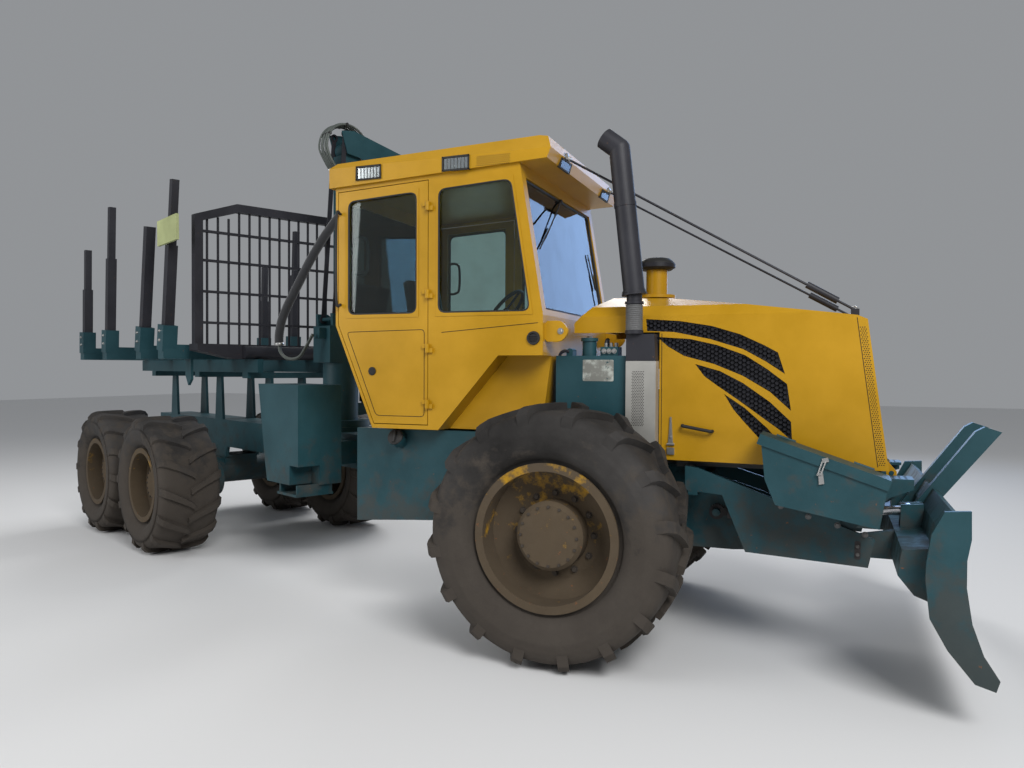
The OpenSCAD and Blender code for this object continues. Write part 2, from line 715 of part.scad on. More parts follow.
blade_ram = blade_rod_pin - blade_barrel_pin;
blade_ram_angle = atan2(blade_ram[1], blade_ram[0]);
blade_ram_y = 395;
module blade_ram_place() both_sides() translate([blade_barrel_pin[0], blade_ram_y, blade_barrel_pin[1]])
  rotate([0, -blade_ram_angle, 0]) children();
module blade_barrels() color(black) blade_ram_place() ram_barrel(blade_cyl_r, 800, 25, 50);
module blade_rods() color(steel) blade_ram_place() ram_rod(blade_cyl_r, 450, norm(blade_ram), 42, 46);

// Rear unit

spine_low = 950;
spine_high = 1250;
spine_half = 200;
rail_half = 450;
rail_low = 1790;
rail_top = rail_low + 130;
bunk_posts = [3980, 5180, 6500];

module rear_frame() {
  color(green) at_rear() difference() {
    union() {
      // tongue of the centre joint
      translate([-pivot_back, 0, joint_low_z + joint_plate + 5])
        cylinder(r = 140, h = joint_top_z - joint_low_z - 2 * joint_plate - 10);
      block([-1920, -tongue_half, joint_low_z + joint_plate + 5],
        [-pivot_back, tongue_half, joint_top_z - joint_plate - 5]);
      block([-1930, -tongue_half, joint_low_z + joint_plate + 5], [-1600, tongue_half, spine_high]);
      // spine
      difference() {
        block([-6950, -spine_half, spine_low], [-1900, spine_half, spine_high]);
        block([-6950 - cut, -spine_half + 25, spine_low + 25], [-3300, spine_half - 25, spine_high - 25]);
      }
      // crane seat
      translate([-column_back, 0, spine_low]) cylinder(r = 290, h = spine_high - spine_low + 40);
      // brackets down to the bogie axle
      both_sides() xz_plate([[-bogie_back - 220, spine_low + 50], [-bogie_back + 220, spine_low + 50],
        [-bogie_back + 170, rear_tyre_r + bogie_axle_r + 4],
        [-bogie_back - 170, rear_tyre_r + bogie_axle_r + 4]], spine_half - 40, spine_half);
      block([-bogie_back - 170, -spine_half, rear_tyre_r + bogie_axle_r + 4],
        [-bogie_back + 170, spine_half, rear_tyre_r + bogie_axle_r + 24]);
      // closed tail with hitch plates
      block([-6970, -spine_half, spine_low], [-6925, spine_half, spine_high]);
      block([-7060, -130, 1040], [-6940, 130, 1080]);
      block([-7060, -130, 940], [-6940, 130, 980]);
    }
    translate([-pivot_back, 0, joint_low_z])
      cylinder(r = joint_pin_r + run_gap, h = joint_top_z - joint_low_z);
    translate([-7005, 0, 900]) cylinder(r = 20, h = 250);
  }
}

// Rails, cross beams and posts that carry the bunks
module bunk_frame() {
  post_foot = spine_high + seat_gap;
  color(green) at_rear() {
    both_sides() block([-6900, rail_half - 60, rail_low], [-3700, rail_half, rail_top]);
    for (x = bunk_posts) {
      block([-x - 60, -rail_half, rail_low - 60], [-x + 60, rail_half, rail_low]);
      both_sides() xz_plate([[-x - 60, rail_low - 50], [-x + 60, rail_low - 50], [-x + 100, post_foot],
        [-x - 100, post_foot]],
        spine_half - 30, spine_half);
    }
  }
}

module bogies() {
  case_in = 520;
  case_out = 700;
  color(green) at_rear() translate([-bogie_back, 0, rear_tyre_r]) {
    y_rod(0, -case_in - cut, 0, bogie_axle_r, 2 * case_in + 2 * cut);
    block([-140, -190, 0], [140, 190, bogie_axle_r + 3.7]);
    both_sides() {
      xz_plate([[-bogie_pitch / 2, -130], [-bogie_pitch / 2, 130], [-200, 210], [200, 210],
        [bogie_pitch / 2, 130],
        [bogie_pitch / 2, -130], [200, -170], [-200, -170]], case_in, case_out);
      for (end = [-1, 1]) {
        y_rod(end * bogie_pitch / 2, case_in, 0, 165, case_out - case_in);
        y_rod(end * bogie_pitch / 2, case_out - cut, 0, spindle_r + 30, rear_track_half - 145 - case_out);
        y_rod(end * bogie_pitch / 2, case_out - cut, 0, spindle_r, rear_track_half - 15 - case_out);
      }
    }
  }
}

headboard_top = 3300;
headboard_peak = 3450;
headboard_low = 2020;
module headboard() {
  tube = 80;
  post_y = headboard_half - tube;
  bar = 18;
  bar_pitch = 2 * post_y / 17;
  x0 = -headboard_back;
  color(black) at_rear() {
    // outer frame with chamfered top corners
    translate([x0, 0, 0]) rotate([90, 0, 90]) linear_extrude(tube) difference() {
      polygon([[-headboard_half, headboard_low], [-headboard_half, headboard_top],
        [-headboard_half + 420, headboard_peak],
        [headboard_half - 420, headboard_peak], [headboard_half, headboard_top],
          [headboard_half, headboard_low]]);
      polygon([[-post_y, headboard_low + 40], [-post_y, headboard_top - 50],
        [-headboard_half + 440, headboard_peak - tube],
        [headboard_half - 440, headboard_peak - tube], [post_y, headboard_top - 50],
          [post_y, headboard_low + 40]]);
    }
    // upright bars and cross bars
    for (i = [-8:8]) block([x0 + 30, i * bar_pitch - bar / 2, headboard_low],
      [x0 + 30 + bar, i * bar_pitch + bar / 2, abs(i) > 5 ? headboard_top : headboard_peak - 40]);
    for (z = [2260, 2560, 2860, 3140]) block([x0 + 22, -post_y - cut, z], [x0 + 56, post_y + cut, z + 24]);
    // base beam
    translate([x0 - 60, 0, 0]) rotate([90, 0, 90]) linear_extrude(200)
      polygon([[-headboard_half, headboard_low + 45], [headboard_half, headboard_low + 45],
        [headboard_half, headboard_low - 20],
        [620, rail_low + 130 + seat_gap], [-620, rail_low + 130 + seat_gap],
          [-headboard_half, headboard_low - 20]]);
    translate([x0 + 180, 0, 1990]) rotate([90, 0, 0]) translate([0, 0, -560]) cylinder(r = 62, h = 1120);
    both_sides() block([x0 + 130, 470, 1950], [x0 + 200, 520, 2010]);
  }
}

// Stakes, front to rear: [distance back of the foot, height of the top, lean forward, height where it narrows]
stake_table = [[4230, 3640, 7.5, 3020], [4850, 3270, 8, 3270], [5930, 3620, 3, 3050],
  [6760, 3230, 1.5, 2760]];
pocket_h = 190;

module stake_place(stake) both_sides() translate([-stake[0], stake_half, bunk_z]) rotate([0, stake[2],
  0]) children();

module bunks() {
  tight = stake_w / 2 + seat_gap;
  color(green) at_rear() difference() {
    union() {
      for (stake = stake_table) {
        block([-stake[0] - 70, -stake_half - 60, rail_top + seat_gap],
          [-stake[0] + 70, stake_half + 60, bunk_z]);
        stake_place(stake) block([-75, -70, -60], [75, 70, pocket_h]);
      }
      // gusset plates under the ends of the front bunk
      both_sides() xz_plate([[-4300, rail_top + 20], [-4160, rail_top + 20], [-4160, 1720],
        [-4230, 1660], [-4300, 1760]], 900, 925);
    }
    for (stake = stake_table) stake_place(stake) block([-tight, -tight, 0], [tight, tight, pocket_h + cut]);
  }
}

module stakes() {
  thin = 34;
  at_rear() {
    color(black) for (stake = stake_table) stake_place(stake) {
      block([-stake_w / 2, -stake_w / 2, seat_gap], [stake_w / 2, stake_w / 2, stake[3] - bunk_z]);
      block([-thin, -thin, stake[3] - bunk_z - cut], [thin, thin, stake[1] - bunk_z]);
    }
    // board across the outside of the front stake
    color(pale) translate([-4075, -stake_half - stake_w / 2 - 22, 3020]) rotate([0, -2, 0])
      block([-210, 0, 0], [270, 22 + cut, 240]);
  }
}

module rear_tank() {
  color(green) at_rear() {
    difference() {
      xz_plate([[-2070, 880], [-2070, 1700], [-2760, 1700], [-2640, 1040], [-2600, 880]], -900, -500);
      xz_plate([[-2060, 875], [-2060, 1040], [-2210, 1040], [-2210, 875]], -905, -700);
    }
    block([-2500, -501, 1000], [-2300, -spine_half - seat_gap, 1200]);
    block([-2420, -900, 790], [-2100, -560, 810]);
    for (x = [-2400, -2120]) block([x, -890, 808], [x + 20, -570, 885]);
  }
}
// Crane, drawn in its own plane: u outward, w up, then turned to point left of the rear frame
shoulder_u = 60;
knuckle_z = shoulder_z + main_boom_l;
outer_u = shoulder_u + boom_fold;
mouth_z = knuckle_z - outer_boom_l;
lift_base = [270, 1450];
lift_eye = [shoulder_u + 195, shoulder_z + 450];
// half of the room that the lift rod keeps between its pins
lift_rod_room = 29.5;
link_base = [shoulder_u - 190, shoulder_z + 146];
link_tip = [shoulder_u - 75, knuckle_z + 130];
column_low = spine_high + 40 + run_gap;

module at_crane() at_rear() translate([-column_back, 0, 0]) rotate([0, 0, 90]) children();

// Plate in the crane plane between v0 and v1 across it
module uw_plate(outline, v0, v1) xz_plate(outline, v0, v1);

module crane_column() {
  color(green) at_crane() difference() {
    union() {
      translate([0, 0, column_low]) cylinder(r = 270, h = 60);
      translate([0, 0, column_low + 50]) cylinder(r = column_r, h = shoulder_z - column_low - 200);
      // cheeks at the shoulder
      for (v = [-150, 110]) uw_plate([[-165, shoulder_z - 260], [165, shoulder_z - 260],
        [200, shoulder_z - 60],
        [200, shoulder_z + 70], [60, shoulder_z + 90], [link_base[0] + 60, link_base[1] + 50],
        [link_base[0] - 50, link_base[1] + 50], [-165, shoulder_z - 60]], v, v + 40);
      translate([0, 0, shoulder_z - 300]) cylinder(r = column_r, h = 110);
      // back plate and the hose port on it
      block([-205, -150, shoulder_z - 260], [-160, 150, shoulder_z + 80]);
      block([-275, -80, shoulder_z - 40], [-200, 0, shoulder_z + 60]);
      // ears of the lift cylinder
      for (v = [-62, 32]) uw_plate([[120, 1380], [300, 1400], [320, 1450], [300, 1500], [120, 1500]],
        v, v + 30);
    }
    y_rod(shoulder_u, -200, shoulder_z, 35 + run_gap, 400);
    y_rod(lift_base[0], -100, lift_base[1], 22, 200);
  }
  color(steel) at_crane() {
    y_rod(lift_base[0], -70, lift_base[1], 22, 140);
    y_rod(link_base[0], -150, link_base[1], 18, 300);
  }
}

module main_boom() {
  color(green) at_crane() difference() {
    union() {
      block([shoulder_u - 95, -75, shoulder_z + 60], [shoulder_u + 95, 75, knuckle_z - 60]);
      y_rod(shoulder_u, -100, shoulder_z, 85, 200);
      block([shoulder_u - 60, -75, shoulder_z], [shoulder_u + 60, 75, shoulder_z + 70]);
      y_rod(shoulder_u, -75, knuckle_z, 80, 150);
      block([shoulder_u - 60, -75, knuckle_z - 70], [shoulder_u + 60, 75, knuckle_z]);
      // clamp of the sleeved hose
      block([shoulder_u - 55, -262, 3255], [shoulder_u - 15, -70, 3330]);
      block([shoulder_u - 185, -262, 3255], [shoulder_u - 15, -195, 3330]);
      // ears of the lift rod
      for (v = [-60, 30]) uw_plate([[shoulder_u + 80, lift_eye[1] - 80],
        [lift_eye[0] + 30, lift_eye[1] - 30],
        [lift_eye[0] + 30, lift_eye[1] + 30], [shoulder_u + 80, lift_eye[1] + 110]], v, v + 30);
    }
    y_rod(shoulder_u, -101, knuckle_z, 30 + run_gap, 202);
  }
  color(steel) at_crane() {
    y_rod(shoulder_u, -160, shoulder_z, 35, 320);
    y_rod(lift_eye[0], -60, lift_eye[1], 18, 60 - lift_rod_room);
    y_rod(lift_eye[0], lift_rod_room, lift_eye[1], 18, 60 - lift_rod_room);
  }
}

lift_line = lift_eye - lift_base;
lift_angle = atan2(lift_line[1], lift_line[0]);
module lift_place() at_crane() translate([lift_base[0], 0, lift_base[1]]) rotate([0, -lift_angle, 0])
  children();
module lift_barrel() color(black) lift_place() ram_barrel(52, 640, 22, 60);
module lift_rod() color(steel) lift_place() ram_rod(52, 530, norm(lift_line), 36, 48);

module crane_link() {
  d = link_tip - link_base;
  color(black) at_crane() for (v = [-104, 90]) difference() {
    union() {
      y_rod(link_base[0], v, link_base[1], 36, 14);
      y_rod(link_tip[0], v, link_tip[1], 36, 14);
      translate([link_base[0], v, link_base[1]]) rotate([0, -atan2(d[1], d[0]), 0]) block([0, 2, -22],
        [norm(d), 12, 22]);
    }
    y_rod(link_base[0], v - cut, link_base[1], 18 + run_gap, 16);
    y_rod(link_tip[0], v - cut, link_tip[1], 18 + run_gap, 16);
  }
}

// Hoses in one bundle that arches over the knuckle
module knuckle_hoses() {
  bundle = 75;
  arch_r = 255;
  arch_t = 55;
  centre = [shoulder_u - 20, knuckle_z + 10];
  boom_face = shoulder_u - 95 - seat_gap;
  color(rubber_black) at_crane() {
    difference() {
      y_rod(centre[0], -bundle, centre[1], arch_r, 2 * bundle);
      y_rod(centre[0], -bundle - cut, centre[1], arch_r - arch_t, 2 * bundle + 2 * cut);
      block([centre[0] - arch_r + arch_t, -bundle - cut, centre[1] - 300],
        [centre[0] + 300, bundle + cut, centre[1] - 60]);
    }
    uw_plate([[centre[0] - arch_r + 1, centre[1]], [centre[0] - arch_r + arch_t - 1, centre[1]],
      [boom_face, knuckle_z - 190], [boom_face, knuckle_z - 260]], -bundle, bundle);
  }
}

// Sleeved hose and the thin hose at its foot, swept along routes of [outward, height] points in one upright plane
sleeve_route = [[-100, 3310], [-20, 3215], [50, 3120], [115, 3025], [175, 2925], [235, 2820],
  [290, 2710], [345, 2600],
  [400, 2490], [450, 2385], [490, 2280], [512, 2175], [518, 2100], [515, 2040]];
tail_route = [[515, 2040], [508, 1995], [485, 1955], [447, 1928], [400, 1918], [352, 1928],
  [315, 1955], [290, 1995],
  [262, 2045], [232, 2100], [205, 2150]];
sleeve_r = 40;
tail_r = 15;
hose_sides = 10;
hose_foot = [-165, -175];
hose_turn = 136.7;
function way(route, i) = route[min(i + 1, len(route) - 1)] - route[max(i - 1, 0)];
function ring(route, r, i) = let (d = way(route, i) / norm(way(route, i))) [for (k = [0:hose_sides - 1])
  let (a = 360 * k / hose_sides) [route[i][0] - d[1] * r * cos(a), r * sin(a),
    route[i][1] + d[0] * r * cos(a)]];

module swept_hose(route, r) {
  rings = len(route);
  spots = [for (i = [0:rings - 1]) each ring(route, r, i)];
  wall = [for (i = [0:rings - 2]) for (k = [0:hose_sides - 1]) let (
    p = i * hose_sides + k,
    q = i * hose_sides + (k + 1) % hose_sides) each [[p, q, q + hose_sides],
      [p, q + hose_sides, p + hose_sides]]];
  first = [for (k = [hose_sides - 1:-1:0]) k];
  last = [for (k = [0:hose_sides - 1]) (rings - 1) * hose_sides + k];
  color(rubber_black) at_crane() translate([hose_foot[0], hose_foot[1], 0]) rotate([0, 0, hose_turn])
    polyhedron(spots, concat(wall, [first, last]));
}

module crane_hose() swept_hose(sleeve_route, sleeve_r);
module hose_tail() swept_hose(tail_route, tail_r);

module outer_boom() {
  color(green) at_crane() {
    difference() {
      union() {
        block([outer_u - 75, -70, mouth_z], [outer_u + 75, 70, knuckle_z - 40]);
        for (v = [-120, 108]) uw_plate([[shoulder_u - 60, knuckle_z - 50],
          [shoulder_u - 120, knuckle_z + 150],
          [shoulder_u + 10, knuckle_z + 170], [outer_u + 75, knuckle_z + 20],
            [outer_u + 75, knuckle_z - 220],
          [outer_u - 75, knuckle_z - 220], [shoulder_u + 80, knuckle_z - 70]], v, v + 12);
        block([outer_u - 75, -120, knuckle_z - 220], [outer_u + 75, 120, knuckle_z - 40]);
      }
      block([outer_u - 60, -55, mouth_z - cut], [outer_u + 60, 55, mouth_z + 960]);
      y_rod(shoulder_u, -130, knuckle_z, 30, 260);
    }
  }
  color(steel) at_crane() y_rod(shoulder_u, -120, knuckle_z, 30, 240);
}

ext_low = mouth_z - 70;
module boom_extension() {
  color(green) at_crane() {
    block([outer_u - 60 + 1, -54, ext_low], [outer_u + 60 - 1, 54, mouth_z + 900]);
    block([outer_u - 45, -30, ext_low - 60], [outer_u + 45, 30, ext_low + cut]);
  }
}

rotator_z = ext_low - 60 - run_gap;
claw_pin_z = rotator_z - 300;
module rotator() {
  color(grey) at_crane() translate([outer_u, 0, 0]) {
    translate([0, 0, rotator_z - 170]) cylinder(r = 75, h = 170);
    block([-70, -150, rotator_z - 230], [70, 150, rotator_z - 165]);
    for (u = [-70, 45]) for (v = [-115, 115]) translate([u, v, claw_pin_z]) {
      rotate([0, 90, 0]) cylinder(r = 32, h = 25);
      block([0, -32, 0], [25, 32, 80]);
    }
  }
  color(steel) at_crane() for (v = [-115, 115]) translate([outer_u - 70, v, claw_pin_z]) rotate([0, 90, 0])
    cylinder(r = 14, h = 140);
}

// Claw drawn in the plane across the boom, its pin at the origin
claw_outline = [[-30, 35], [35, 35], [150, -60], [190, -190], [160, -310], [60, -390], [-105, -400],
  [-108, -380], [40, -350], [110, -280], [130, -190], [95, -90], [10, -38], [-30, -35]];
module claw(side) {
  color(black) at_crane() translate([outer_u, side * 115, claw_pin_z]) mirror([0, side > 0 ? 0 : 1,
    0]) difference() {
    union() {
      for (u = [-44, 19]) translate([u, 0, 0]) rotate([90, 0, 90]) linear_extrude(24) polygon(claw_outline);
      translate([-44, 0, 0]) rotate([90, 0, 90]) linear_extrude(87) polygon([[150, -60], [190, -190],
        [130, -190], [95, -90]]);
      translate([-44, 0, 0]) rotate([0, 90, 0]) cylinder(r = 36, h = 87);
    }
    translate([-80, 0, 0]) rotate([0, 90, 0]) cylinder(r = 14 + run_gap, h = 160);
  }
}

front_frame();
front_axle();
engine_block();
hood();
hood_mesh();
exhaust();
air_intake();
hydraulic_tank();
side_tanks();
tool_boxes();
box_lid(-1);  // box_lid_right
box_lid(1);  // box_lid_left
cab_shell();
cab_foot();
cab_roof();
cab_glass();
door(-1);  // door_right
door_glass(-1);  // door_right_glass
door(1);  // door_left
door_glass(1);  // door_left_glass
seat();
console();
branch_cables();
blade();
blade_barrels();
blade_rods();
tyre_front(-1);  // tyre_front_right
rim_front(-1);  // rim_front_right
tyre_front(1);  // tyre_front_left
rim_front(1);  // rim_front_left
rear_frame();
bunk_frame();
bogies();
headboard();
bunks();
stakes();
rear_tank();
tyre_rear(-1, 1);  // tyre_mid_right
rim_rear(-1, 1);  // rim_mid_right
tyre_rear(1, 1);  // tyre_mid_left
rim_rear(1, 1);  // rim_mid_left
tyre_rear(-1, -1);  // tyre_back_right
rim_rear(-1, -1);  // rim_back_right
tyre_rear(1, -1);  // tyre_back_left
rim_rear(1, -1);  // rim_back_left
crane_column();
main_boom();
lift_barrel();
lift_rod();
crane_link();
knuckle_hoses();
crane_hose();
hose_tail();
outer_boom();
boom_extension();
rotator();
claw(1);  // claw_front
claw(-1);  // claw_rear
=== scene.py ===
# %% [markdown]
# # Dressing a forestry forwarder
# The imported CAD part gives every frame, wheel, panel and boom its true shape. This notebook adds what a
# workshop and a wet forest add: paint, mud, tyre lugs, honeycomb grilles, bolts, lamps, hoses and seat foam.
# Every piece rides on a rigid body of the part, so it follows when a door, boom or blade moves.

# %% Load the frame
import json
import math
import bpy
import bmesh
from mathutils import Matrix, Vector


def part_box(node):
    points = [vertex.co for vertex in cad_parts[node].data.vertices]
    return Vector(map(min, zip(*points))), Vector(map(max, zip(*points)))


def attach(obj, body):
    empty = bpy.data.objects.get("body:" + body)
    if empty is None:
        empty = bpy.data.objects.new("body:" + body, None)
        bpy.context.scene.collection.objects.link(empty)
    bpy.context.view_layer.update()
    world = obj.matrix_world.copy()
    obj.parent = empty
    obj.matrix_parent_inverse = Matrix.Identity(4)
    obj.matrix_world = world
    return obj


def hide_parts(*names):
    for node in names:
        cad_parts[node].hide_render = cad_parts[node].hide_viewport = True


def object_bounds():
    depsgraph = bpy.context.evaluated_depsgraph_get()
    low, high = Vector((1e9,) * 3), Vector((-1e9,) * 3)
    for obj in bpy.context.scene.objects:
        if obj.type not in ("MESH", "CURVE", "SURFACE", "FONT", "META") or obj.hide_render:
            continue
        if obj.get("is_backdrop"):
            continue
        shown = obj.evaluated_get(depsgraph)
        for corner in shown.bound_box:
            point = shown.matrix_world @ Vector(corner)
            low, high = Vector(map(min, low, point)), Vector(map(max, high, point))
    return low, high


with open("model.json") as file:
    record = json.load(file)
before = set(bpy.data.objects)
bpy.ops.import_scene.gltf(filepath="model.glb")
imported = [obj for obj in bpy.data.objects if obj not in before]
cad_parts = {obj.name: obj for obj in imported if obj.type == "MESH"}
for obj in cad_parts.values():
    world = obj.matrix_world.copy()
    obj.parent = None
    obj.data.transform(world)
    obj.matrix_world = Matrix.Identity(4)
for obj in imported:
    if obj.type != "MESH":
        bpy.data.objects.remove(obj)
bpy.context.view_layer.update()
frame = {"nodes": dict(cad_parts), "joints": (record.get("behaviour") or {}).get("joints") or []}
nodes = frame["nodes"]
SIDES = ((-1, "right"), (1, "left"))

# %% [markdown]
# ## The camera
# The photographer stood a little ahead of the cab on the machine's right side, at eye height. The view is set
# by a point, a heading counted from +X towards +Y, a small tilt and roll, and a focal length in pixels.

# %% Camera
PHOTO_W, PHOTO_H = 1024, 768
FOCAL_PX = 808.7
EYE = Vector((1.603, -5.886, 1.841))
HEADING, TILT, ROLL = 111.62, -1.09, 0.29

scene = bpy.context.scene
camera_data = bpy.data.cameras.new("camera")
camera_data.sensor_width = 36.0
camera_data.lens = 36.0 * FOCAL_PX / PHOTO_W
camera = bpy.data.objects.new("camera", camera_data)
scene.collection.objects.link(camera)
turn = (Matrix.Rotation(math.radians(HEADING - 90), 4, "Z") @ Matrix.Rotation(math.radians(90 + TILT), 4, "X")
        @ Matrix.Rotation(math.radians(ROLL), 4, "Z"))
camera.matrix_world = Matrix.Translation(EYE) @ turn
scene.camera = camera
scene.render.resolution_x, scene.render.resolution_y = PHOTO_W, PHOTO_H
scene.view_settings.view_transform = "Standard"
scene.render.engine = "CYCLES"
scene.cycles.samples = 64
print("lens in mm:", round(camera_data.lens, 2))

# %% [markdown]
# ## A small kit for node trees
# Materials and Geometry Nodes are both graphs. One helper adds a node and fills its inputs: a value is typed
# in, a socket is linked. Keeping it this short makes the graphs below read like recipes.

# %% Node helper
def add(tree, kind, inputs=None, **settings):
    """Adds a node, sets its settings, then types in or links each input."""
    node = tree.nodes.new(kind)
    for key, value in settings.items():
        setattr(node, key, value)
    for key, value in (inputs or {}).items():
        if isinstance(value, bpy.types.NodeSocket):
            tree.links.new(value, node.inputs[key])
        else:
            node.inputs[key].default_value = value
    return node


# %% Steps that the materials share
def blend(tree, share, first, second):
    """A colour between two, by a share from 0 to 1."""
    return add(tree, "ShaderNodeMix", {0: share, 6: first, 7: second}, data_type="RGBA").outputs[2]


def remap(tree, value, low=0.0, high=1.0, to_low=0.0, to_high=1.0):
    """A value carried from one range to another and held at its ends."""
    return add(tree, "ShaderNodeMapRange", {"Value": value, "From Min": low, "From Max": high,
                                            "To Min": to_low, "To Max": to_high}).outputs["Result"]


def noise(tree, place, scale, detail, roughness=0.5):
    """Cloudy noise, from 0 to 1."""
    return add(tree, "ShaderNodeTexNoise", {"Vector": place, "Scale": scale, "Detail": detail,
                                            "Roughness": roughness}).outputs["Fac"]


def blank_material(name):
    """A material without nodes, its tree, and Object coordinates to read."""
    material = bpy.data.materials.new(name)
    material.use_nodes = True
    material.node_tree.nodes.clear()
    return material, material.node_tree, add(material.node_tree, "ShaderNodeTexCoord").outputs["Object"]


def close_material(material, shader):
    """Sends the shader's light to the material's output."""
    add(material.node_tree, "ShaderNodeOutputMaterial", {"Surface": shader.outputs[0]})
    return material


print("steps:", [step.__name__ for step in (add, blend, remap, noise, blank_material, close_material)])


# %% [markdown]
# ## Paint, mud and rubber
# Real machine paint is never one colour. Sun fades it in soft clouds, grit chips it, and mud climbs from the
# wheels. The recipe mixes three layers with noise read from Object coordinates: clouds in the paint, a mud
# coat that thins out with height, and small chips. Mud is rough and the paint keeps a dull shine.

# %% Weathered paint
MUD = (0.040, 0.032, 0.026, 1)
DUST = (0.074, 0.062, 0.050, 1)


def weathered(name, colour, rough=0.42, metal=0.0, mud_low=0.4, mud_high=1.6, mud=0.6, chips=0.0,
              chip_colour=(0.16, 0.07, 0.03, 1), shade=0.12, grain=60.0, bump=0.12):
    """Paint with clouds, mud that thins out between two heights, and chips."""
    material, tree, place = blank_material(name)
    dark = tuple(c * (1 - 2.2 * shade) for c in colour[:3]) + (1,)
    light = tuple(min(1.0, c * (1 + shade) + 0.01) for c in colour[:3]) + (1,)
    paint = blend(tree, remap(tree, noise(tree, place, 1.7, 6.0, 0.6), 0.3, 0.65), dark, light)
    fine = noise(tree, place, 7.0, 9.0, 0.68)
    height = add(tree, "ShaderNodeSeparateXYZ", {"Vector": place}).outputs["Z"]
    rise = remap(tree, height, mud_low, mud_high, 0.34, -0.30)
    level = add(tree, "ShaderNodeMath", {0: rise, 1: fine}, operation="ADD").outputs[0]
    coat = remap(tree, level, 0.5, 0.66, 0.0, mud)
    surface = blend(tree, coat, paint, blend(tree, fine, MUD, DUST))
    if chips > 0:
        edge = 0.70 - 0.10 * chips
        spots = remap(tree, noise(tree, place, 21.0, 5.0, 0.75), edge, edge + 0.02)
        surface = blend(tree, spots, surface, chip_colour)
    relief = add(tree, "ShaderNodeBump", {"Strength": bump, "Distance": 0.004,
                                          "Height": noise(tree, place, grain, 4.0)}).outputs["Normal"]
    shader = add(tree, "ShaderNodeBsdfPrincipled", {
        "Base Color": surface, "Roughness": remap(tree, coat, 0.0, 1.0, rough, 0.9), "Metallic": metal,
        "Specular IOR Level": 0.32, "Normal": relief})
    return close_material(material, shader)


print("mud, wet and dry:", MUD[:3], DUST[:3])

# %% Coats of paint
YELLOW = (0.455, 0.240, 0.0012)
GREEN = (0.009, 0.054, 0.068)
COATS = {
    "yellow": weathered("yellow paint", YELLOW, rough=0.36, mud_low=-0.3, mud_high=1.9, mud=0.30, shade=0.07,
                        bump=0.04),
    "yellow_disc": weathered("yellow wheel paint", YELLOW, rough=0.55, mud_low=0.5, mud_high=3.0, mud=0.94,
                             chips=0.5),
    "green": weathered("blue green paint", GREEN, rough=0.45, mud_low=0.1, mud_high=1.9, mud=0.55, chips=0.25),
    "black": weathered("black paint", (0.016, 0.016, 0.022), rough=0.5, mud_low=0.4, mud_high=2.4, mud=0.35,
                       chips=0.3),
    "trim": weathered("black plastic", (0.018, 0.018, 0.018), rough=0.6, mud=0.2, bump=0.2),
    "grey": weathered("bare casting", (0.19, 0.19, 0.19), rough=0.6, metal=0.4, mud_high=1.5, mud=0.5),
    "steel": weathered("zinc steel", (0.42, 0.42, 0.41), rough=0.38, metal=0.9, mud_high=1.4, mud=0.4),
    "mud_hub": weathered("muddy hub", (0.09, 0.075, 0.06), rough=0.7, mud_low=1.2, mud_high=4.0, mud=1.0,
                         bump=0.5),
    "rubber": weathered("tyre rubber", (0.030, 0.027, 0.025), rough=0.82, mud_low=0.5, mud_high=1.9, mud=0.85,
                        shade=0.3, grain=38.0, bump=0.6),
    "galv": weathered("galvanised sheet", (0.42, 0.41, 0.38), rough=0.5, metal=0.55, mud_high=1.8, mud=0.3),
    "worn": weathered("worn label field", (0.52, 0.55, 0.50), rough=0.6, mud_low=1.0, mud_high=3.4, mud=0.7,
                      chips=0.8, chip_colour=GREEN + (1,)),
    "pale_board": weathered("pale marker board", (0.42, 0.46, 0.22), rough=0.7, mud_high=3.0, mud=0.4),
    "hose": weathered("sun-bleached hose", (0.10, 0.115, 0.105), rough=0.55, mud_high=2.0, mud=0.3, shade=0.2),
    # Dark joints between panels. On the punched holes the same coat is painted shade of the space behind the
    # sheet.
    "seam": weathered("dark seams and painted hole shade", (0.012, 0.010, 0.008), rough=0.8, mud=0.1),
}
print("coats of paint:", len(COATS))

# %% [markdown]
# ## Glass, chrome and lamp lenses
# Cab glass is clear with a faint green edge and some dust. A mix of a glossy and a transparent shader
# lets light through without the noise of true refraction, and the pane stays thin.

# %% Glass and chrome
def pane_glass(name, tint, dust=0.025):
    """Thin glazing: see-through straight on, mirror-like at a slant, a little dusty."""
    material, tree, place = blank_material(name)
    facing = add(tree, "ShaderNodeFresnel", {"IOR": 1.5})
    gloss = add(tree, "ShaderNodeBsdfGlossy", {"Roughness": 0.02})
    clear = add(tree, "ShaderNodeBsdfTransparent", {"Color": tint})
    sheet = add(tree, "ShaderNodeMixShader", {0: facing.outputs[0], 1: clear.outputs[0], 2: gloss.outputs[0]})
    film = remap(tree, noise(tree, place, 5.0, 7.0), 0.45, 0.8, 0.0, dust * 3)
    powder = add(tree, "ShaderNodeBsdfDiffuse", {"Color": DUST})
    dirty = add(tree, "ShaderNodeMixShader", {0: film, 1: sheet.outputs[0], 2: powder.outputs[0]})
    return close_material(material, dirty)


def polished(name, colour, rough=0.12):
    """Bright metal with fine scratches."""
    material, tree, place = blank_material(name)
    sheen = remap(tree, noise(tree, place, 90.0, 3.0), 0.0, 1.0, rough, rough + 0.2)
    shader = add(tree, "ShaderNodeBsdfPrincipled", {"Base Color": colour, "Metallic": 1.0, "Roughness": sheen})
    return close_material(material, shader)


COATS["glass"] = pane_glass("cab glass", (0.80, 0.90, 0.88, 1))
COATS["lens"] = pane_glass("lamp lens", (0.93, 0.95, 0.96, 1), dust=0.02)
COATS["chrome"] = polished("chromed rod", (0.75, 0.75, 0.77, 1))
COATS["mirror_bowl"] = polished("lamp bowl", (0.85, 0.85, 0.83, 1), rough=0.05)
print("finishes so far:", len(COATS))


